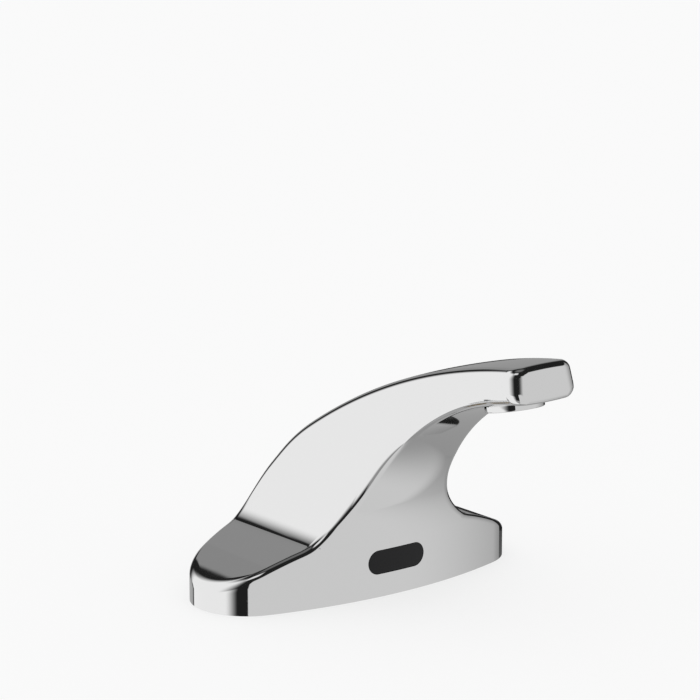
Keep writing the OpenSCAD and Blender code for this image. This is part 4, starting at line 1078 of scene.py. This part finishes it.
class TAP_OT_coils(bpy.types.Operator):
    """Winds the plunger's spring and the wire of the coil"""
    bl_idname = "tap.coils"
    bl_label = "Spring and winding"
    bl_options = {"REGISTER", "UNDO"}

    def execute(self, context):
        f = context.scene.tap_fittings
        self.wind_spring(f)
        self.wind_wire(f)
        return {"FINISHED"}

    @staticmethod
    def wind_spring(f):
        wire, closed = f.spring_wire, CLOSED_TURNS
        middle = (SPRING_LOW + SPRING_HIGH) / 2
        mean = SPRING_HIGH.x - wire / 2
        pitch = (SPRING_HIGH.z - SPRING_LOW.z - wire - 2 * closed * wire) / f.spring_turns
        bm = bmesh.new()
        for v in bmesh.ops.create_circle(bm, segments=WIRE_SIDES, radius=wire / 2)["verts"]:
            v.co = (mean + v.co.x, 0, SPRING_LOW.z + wire / 2 + v.co.y)
        end = bm.verts[:] + bm.edges[:]
        for turns, rise in ((closed, wire), (f.spring_turns, pitch), (closed, wire)):
            steps = round(TURN_STEPS * turns)
            end = bmesh.ops.spin(bm, geom=end, cent=(0, 0, 0), axis=(0, 0, 1), steps=steps,
                                 angle=2 * math.pi * turns,
                                 dvec=(0, 0, rise * turns / steps))["geom_last"]
        bmesh.ops.holes_fill(bm, edges=[e for e in bm.edges if e.is_boundary], sides=0)
        bmesh.ops.translate(bm, vec=(0, middle.y, 0), verts=bm.verts)
        spring = keep(bm, "wound_spring", "plunger_spring", body=None)
        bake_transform(spring)

    @staticmethod
    def wind_wire(f):
        low, high, sides = WINDING_LOW.z, WINDING_HIGH.z, 4
        turns = round((high - low) / f.winding_wire)
        wire = (high - low) / turns
        middle = WINDING_HIGH.x - wire / 2
        halves = [math.pi * j / sides for j in range(sides)]
        profile = [(middle + wire / 2 * math.sin(a), low + wire * (k + (1 - math.cos(a)) / 2))
                   for k in range(turns) for a in halves]
        bm = bmesh.new()
        lathe(bm, profile + [(middle, high), (f.winding_inside, high), (f.winding_inside, low)],
              where=Matrix.Translation((0, f.valve_axis, 0)))
        keep(bm, "wound_wire", "coil_winding")


# ---- Stage -----------------------------------------------------------------------------------

class TAP_OT_studio(bpy.types.Operator):
    """Sets the camera, the pale floor, the soft lamps and the room that the chrome reflects"""
    bl_idname = "tap.studio"
    bl_label = "Studio"
    bl_options = {"REGISTER", "UNDO"}

    CAMERA_AT = (-0.861288, -1.100806, 0.433043)
    CAMERA_AZIMUTH, CAMERA_ELEVATION = 38.055, 13.537
    LENS_MM, SENSOR_MM, FAR_END = 180, 36, 50
    FLOOR_RADIUS, FLOOR_DROP, FLOOR_WHITE = 6, 0.2 * MM, 0.75
    LAMP_STRENGTH, LAMP_WIDTH, LAMP_TILT, LAMP_LEAN = 0.35, 80, 28, -22
    WHITE, DARK_GAP, ROOM_LIGHT = "FAFAFA", 0.02, 0.93

    def execute(self, context):
        scene = context.scene
        scene.view_settings.view_transform = "Standard"
        camera = bpy.data.objects.new("camera", bpy.data.cameras.new("camera"))
        scene.collection.objects.link(camera)
        camera.location = self.CAMERA_AT
        camera.rotation_euler = (math.radians(90 - self.CAMERA_ELEVATION), 0,
                                 -math.radians(self.CAMERA_AZIMUTH))
        camera.data.lens, camera.data.sensor_width = self.LENS_MM, self.SENSOR_MM
        camera.data.clip_end = self.FAR_END
        scene.camera = camera
        self.lay_floor(scene)
        self.hang_lamp(scene)
        self.light_room(scene)
        return {"FINISHED"}

    def lay_floor(self, scene):
        """A pale painted floor under the tap, part of it plain white to the camera."""
        bm = bmesh.new()
        bmesh.ops.create_circle(bm, cap_ends=True, segments=ROUND_STEPS, radius=self.FLOOR_RADIUS)
        bmesh.ops.translate(bm, vec=(0, 0, -self.FLOOR_DROP), verts=bm.verts)
        mesh = bpy.data.meshes.new("studio_floor")
        bm.to_mesh(mesh)
        bm.free()
        floor = bpy.data.objects.new("studio_floor", mesh)
        scene.collection.objects.link(floor)
        material, tree = new_material("pale_painted_floor")
        painted = node(tree, "ShaderNodeBsdfDiffuse", Color=(*scene.tap_finish.floor, 1))
        plain = node(tree, "ShaderNodeEmission", Color=(*linear(self.WHITE), 1), Strength=1)
        ray = node(tree, "ShaderNodeLightPath")
        share = node(tree, "ShaderNodeMath", [(ray.outputs["Is Camera Ray"], 0)],
                     operation="MULTIPLY", _1=self.FLOOR_WHITE)
        shader = node(tree, "ShaderNodeMixShader", [(share.outputs[0], 0), (painted.outputs[0], 1),
                                                    (plain.outputs[0], 2)])
        close_material(material, shader)
        mesh.materials.append(material)
        floor.visible_glossy = False

    def hang_lamp(self, scene):
        """One wide soft lamp, high on the left, for the floor and all that isn't a mirror."""
        data = bpy.data.lights.new("soft_lamp", "SUN")
        data.energy, data.angle = self.LAMP_STRENGTH, math.radians(self.LAMP_WIDTH)
        lamp = bpy.data.objects.new("soft_lamp", data)
        scene.collection.objects.link(lamp)
        lamp.rotation_euler = (math.radians(self.LAMP_TILT), math.radians(self.LAMP_LEAN), 0)
        lamp.visible_glossy = False

    def light_room(self, scene):
        """A white room. Chrome sees it with a studio's soft cards and dark gaps hung in it."""
        world = bpy.data.worlds.new("studio_room")
        scene.world = world
        world.use_nodes = True
        tree = world.node_tree
        tree.nodes.clear()
        ray = node(tree, "ShaderNodeLightPath")
        way = node(tree, "ShaderNodeSeparateXYZ",
                   [(node(tree, "ShaderNodeTexCoord").outputs["Generated"], "Vector")])
        x, y, z = way.outputs

        def maths(kind, *values):
            made = node(tree, "ShaderNodeMath", operation=kind)
            for index, value in enumerate(values):
                if isinstance(value, (int, float)):
                    made.inputs[index].default_value = value
                else:
                    tree.links.new(value, made.inputs[index])
            return made.outputs[0]

        # Degrees: bearing is 0 in front (-Y), 90 on the left (-X) and 180 behind
        back_x, back_y = maths("MULTIPLY", x, -1), maths("MULTIPLY", y, -1)
        bearing = maths("MULTIPLY", maths("ARCTAN2", back_x, back_y), math.degrees(1))
        height = maths("MULTIPLY", maths("ARCSINE", z), math.degrees(1))

        def ramp(value, start, end):
            """0 before start and 1 after end, smoothly between; downwards if start is the higher."""
            (low, a), (high, b) = sorted(((start, 0), (end, 1)))
            return node(tree, "ShaderNodeMapRange", [(value, "Value")], interpolation_type="SMOOTHSTEP",
                        From_Min=low, From_Max=high, To_Min=a, To_Max=b).outputs["Result"]

        def card(level, *edges):
            """A card of that brightness. Each edge is a direction, where it begins and is full."""
            for edge in edges:
                level = maths("MULTIPLY", level, ramp(*edge))
            return level

        # Degrees all the way round, from 0 in front over the left, the back and the right
        around = maths("MODULO", maths("ADD", bearing, 360), 360)
        below, above = (height, -6, -10), (height, -10, -6)
        front_tone = maths("MULTIPLY_ADD", ramp(bearing, -105, -40), 0.48, 0.405)
        front_top = maths("MULTIPLY_ADD", bearing, 0.15, height)
        under_tone = maths("MULTIPLY_ADD", ramp(around, 290, 240), -0.45, 0.86)
        cards = [
            # In front: pale, greyer towards the right, its top falling towards the left
            card(front_tone, (bearing, -103, -100), (bearing, 38, 36.5), (front_top, 18, 11)),
            # From the left to the back: the large white card, below and above the horizon
            maths("ADD", card(1.23, (bearing, 56, 84), (around, 173, 168), below),
                  card(1.23, (bearing, 58, 104), (around, 181, 164), above, (height, 62, 46))),
            # Behind on the right: grey below the horizon, darker above it
            card(0.5, (around, 174, 178), (around, 218, 212), below),
            card(0.37, (around, 191, 195), (around, 240, 220), above, (height, 60, 45)),
            card(0.355, (around, 186.5, 188), (around, 240, 220), (height, 28, 31), (height, 60, 45)),
            # Underneath: grey, but pale in front on the right
            card(under_tone, (height, -42, -50)),
            card(0.41, (around, 196, 204), (around, 280, 256), (height, -15, -20)),
            # High up: a bright strip between front and left, and the dim ceiling
            card(1.1, (bearing, 35, 50), (bearing, 90, 75), (height, 40, 48), (height, 66, 58)),
            card(0.2, (height, 64, 80)),
        ]
        room = self.DARK_GAP
        for level in cards:
            room = maths("MAXIMUM", room, level)
        tones = maths("MULTIPLY", ray.outputs["Is Glossy Ray"], maths("SUBTRACT", room, 1))
        shown = maths("MAXIMUM", ray.outputs["Is Camera Ray"], maths(
            "MAXIMUM", ray.outputs["Is Glossy Ray"], ray.outputs["Is Transmission Ray"]))
        white = node(tree, "ShaderNodeBackground", [(maths("ADD", 1, tones), "Strength")],
                     Color=(*linear(self.WHITE), 1))
        plain = node(tree, "ShaderNodeBackground", Color=(1, 1, 1, 1), Strength=self.ROOM_LIGHT)
        both = node(tree, "ShaderNodeMixShader", [(shown, "Fac"), (plain.outputs[0], 1),
                                                  (white.outputs[0], 2)])
        node(tree, "ShaderNodeOutputWorld", [(both.outputs[0], "Surface")])


class TAP_OT_fittings(bpy.types.Operator):
    """Gives every part that keeps its CAD shape its own finish"""
    bl_idname = "tap.fittings"
    bl_label = "Finishes of the fittings"
    bl_options = {"REGISTER", "UNDO"}

    def execute(self, context):
        for name, obj in frame["nodes"].items():
            place_material(obj, finish_of(name))
        return {"FINISHED"}


class TAP_OT_finishes(bpy.types.Operator):
    """Makes the materials"""
    bl_idname = "tap.finishes"
    bl_label = "Materials"
    bl_options = {"REGISTER", "UNDO"}

    def execute(self, context):
        FINISHES.update(make_finishes())
        return {"FINISHED"}


class TAP_PT_panel(bpy.types.Panel):
    """Lists the sizes, the colours and the steps"""
    bl_idname = "TAP_PT_panel"
    bl_label = "Sensor Tap"
    bl_space_type = "VIEW_3D"
    bl_region_type = "UI"
    bl_category = "Sensor Tap"

    def draw(self, context):
        layout = self.layout
        scene = context.scene
        for group in (scene.tap_form, scene.tap_fittings, scene.tap_finish):
            box = layout.box()
            for name in group.bl_rna.properties.keys():
                if name not in ("rna_type", "name"):
                    box.prop(group, name)
        for operator in OPERATORS:
            layout.operator(operator.bl_idname)


OPERATORS = (TAP_OT_studio, TAP_OT_finishes, TAP_OT_fittings, TAP_OT_body, TAP_OT_window,
             TAP_OT_outlet, TAP_OT_mounting, TAP_OT_screws, TAP_OT_coils)
CLASSES = (TapForm, TapFittings, TapFinish, *OPERATORS, TAP_PT_panel)


def register():
    for item in CLASSES:
        bpy.utils.register_class(item)
    bpy.types.Scene.tap_form = bpy.props.PointerProperty(type=TapForm)
    bpy.types.Scene.tap_fittings = bpy.props.PointerProperty(type=TapFittings)
    bpy.types.Scene.tap_finish = bpy.props.PointerProperty(type=TapFinish)


def unregister():
    del bpy.types.Scene.tap_finish
    del bpy.types.Scene.tap_fittings
    del bpy.types.Scene.tap_form
    for item in reversed(CLASSES):
        bpy.utils.unregister_class(item)


def main():
    register()
    bpy.ops.tap.studio()
    bpy.ops.tap.finishes()
    bpy.ops.tap.fittings()
    bpy.ops.tap.body()
    bpy.ops.tap.window()
    bpy.ops.tap.outlet()
    bpy.ops.tap.mounting()
    bpy.ops.tap.screws()
    bpy.ops.tap.coils()


if __name__ == "__main__":
    main()
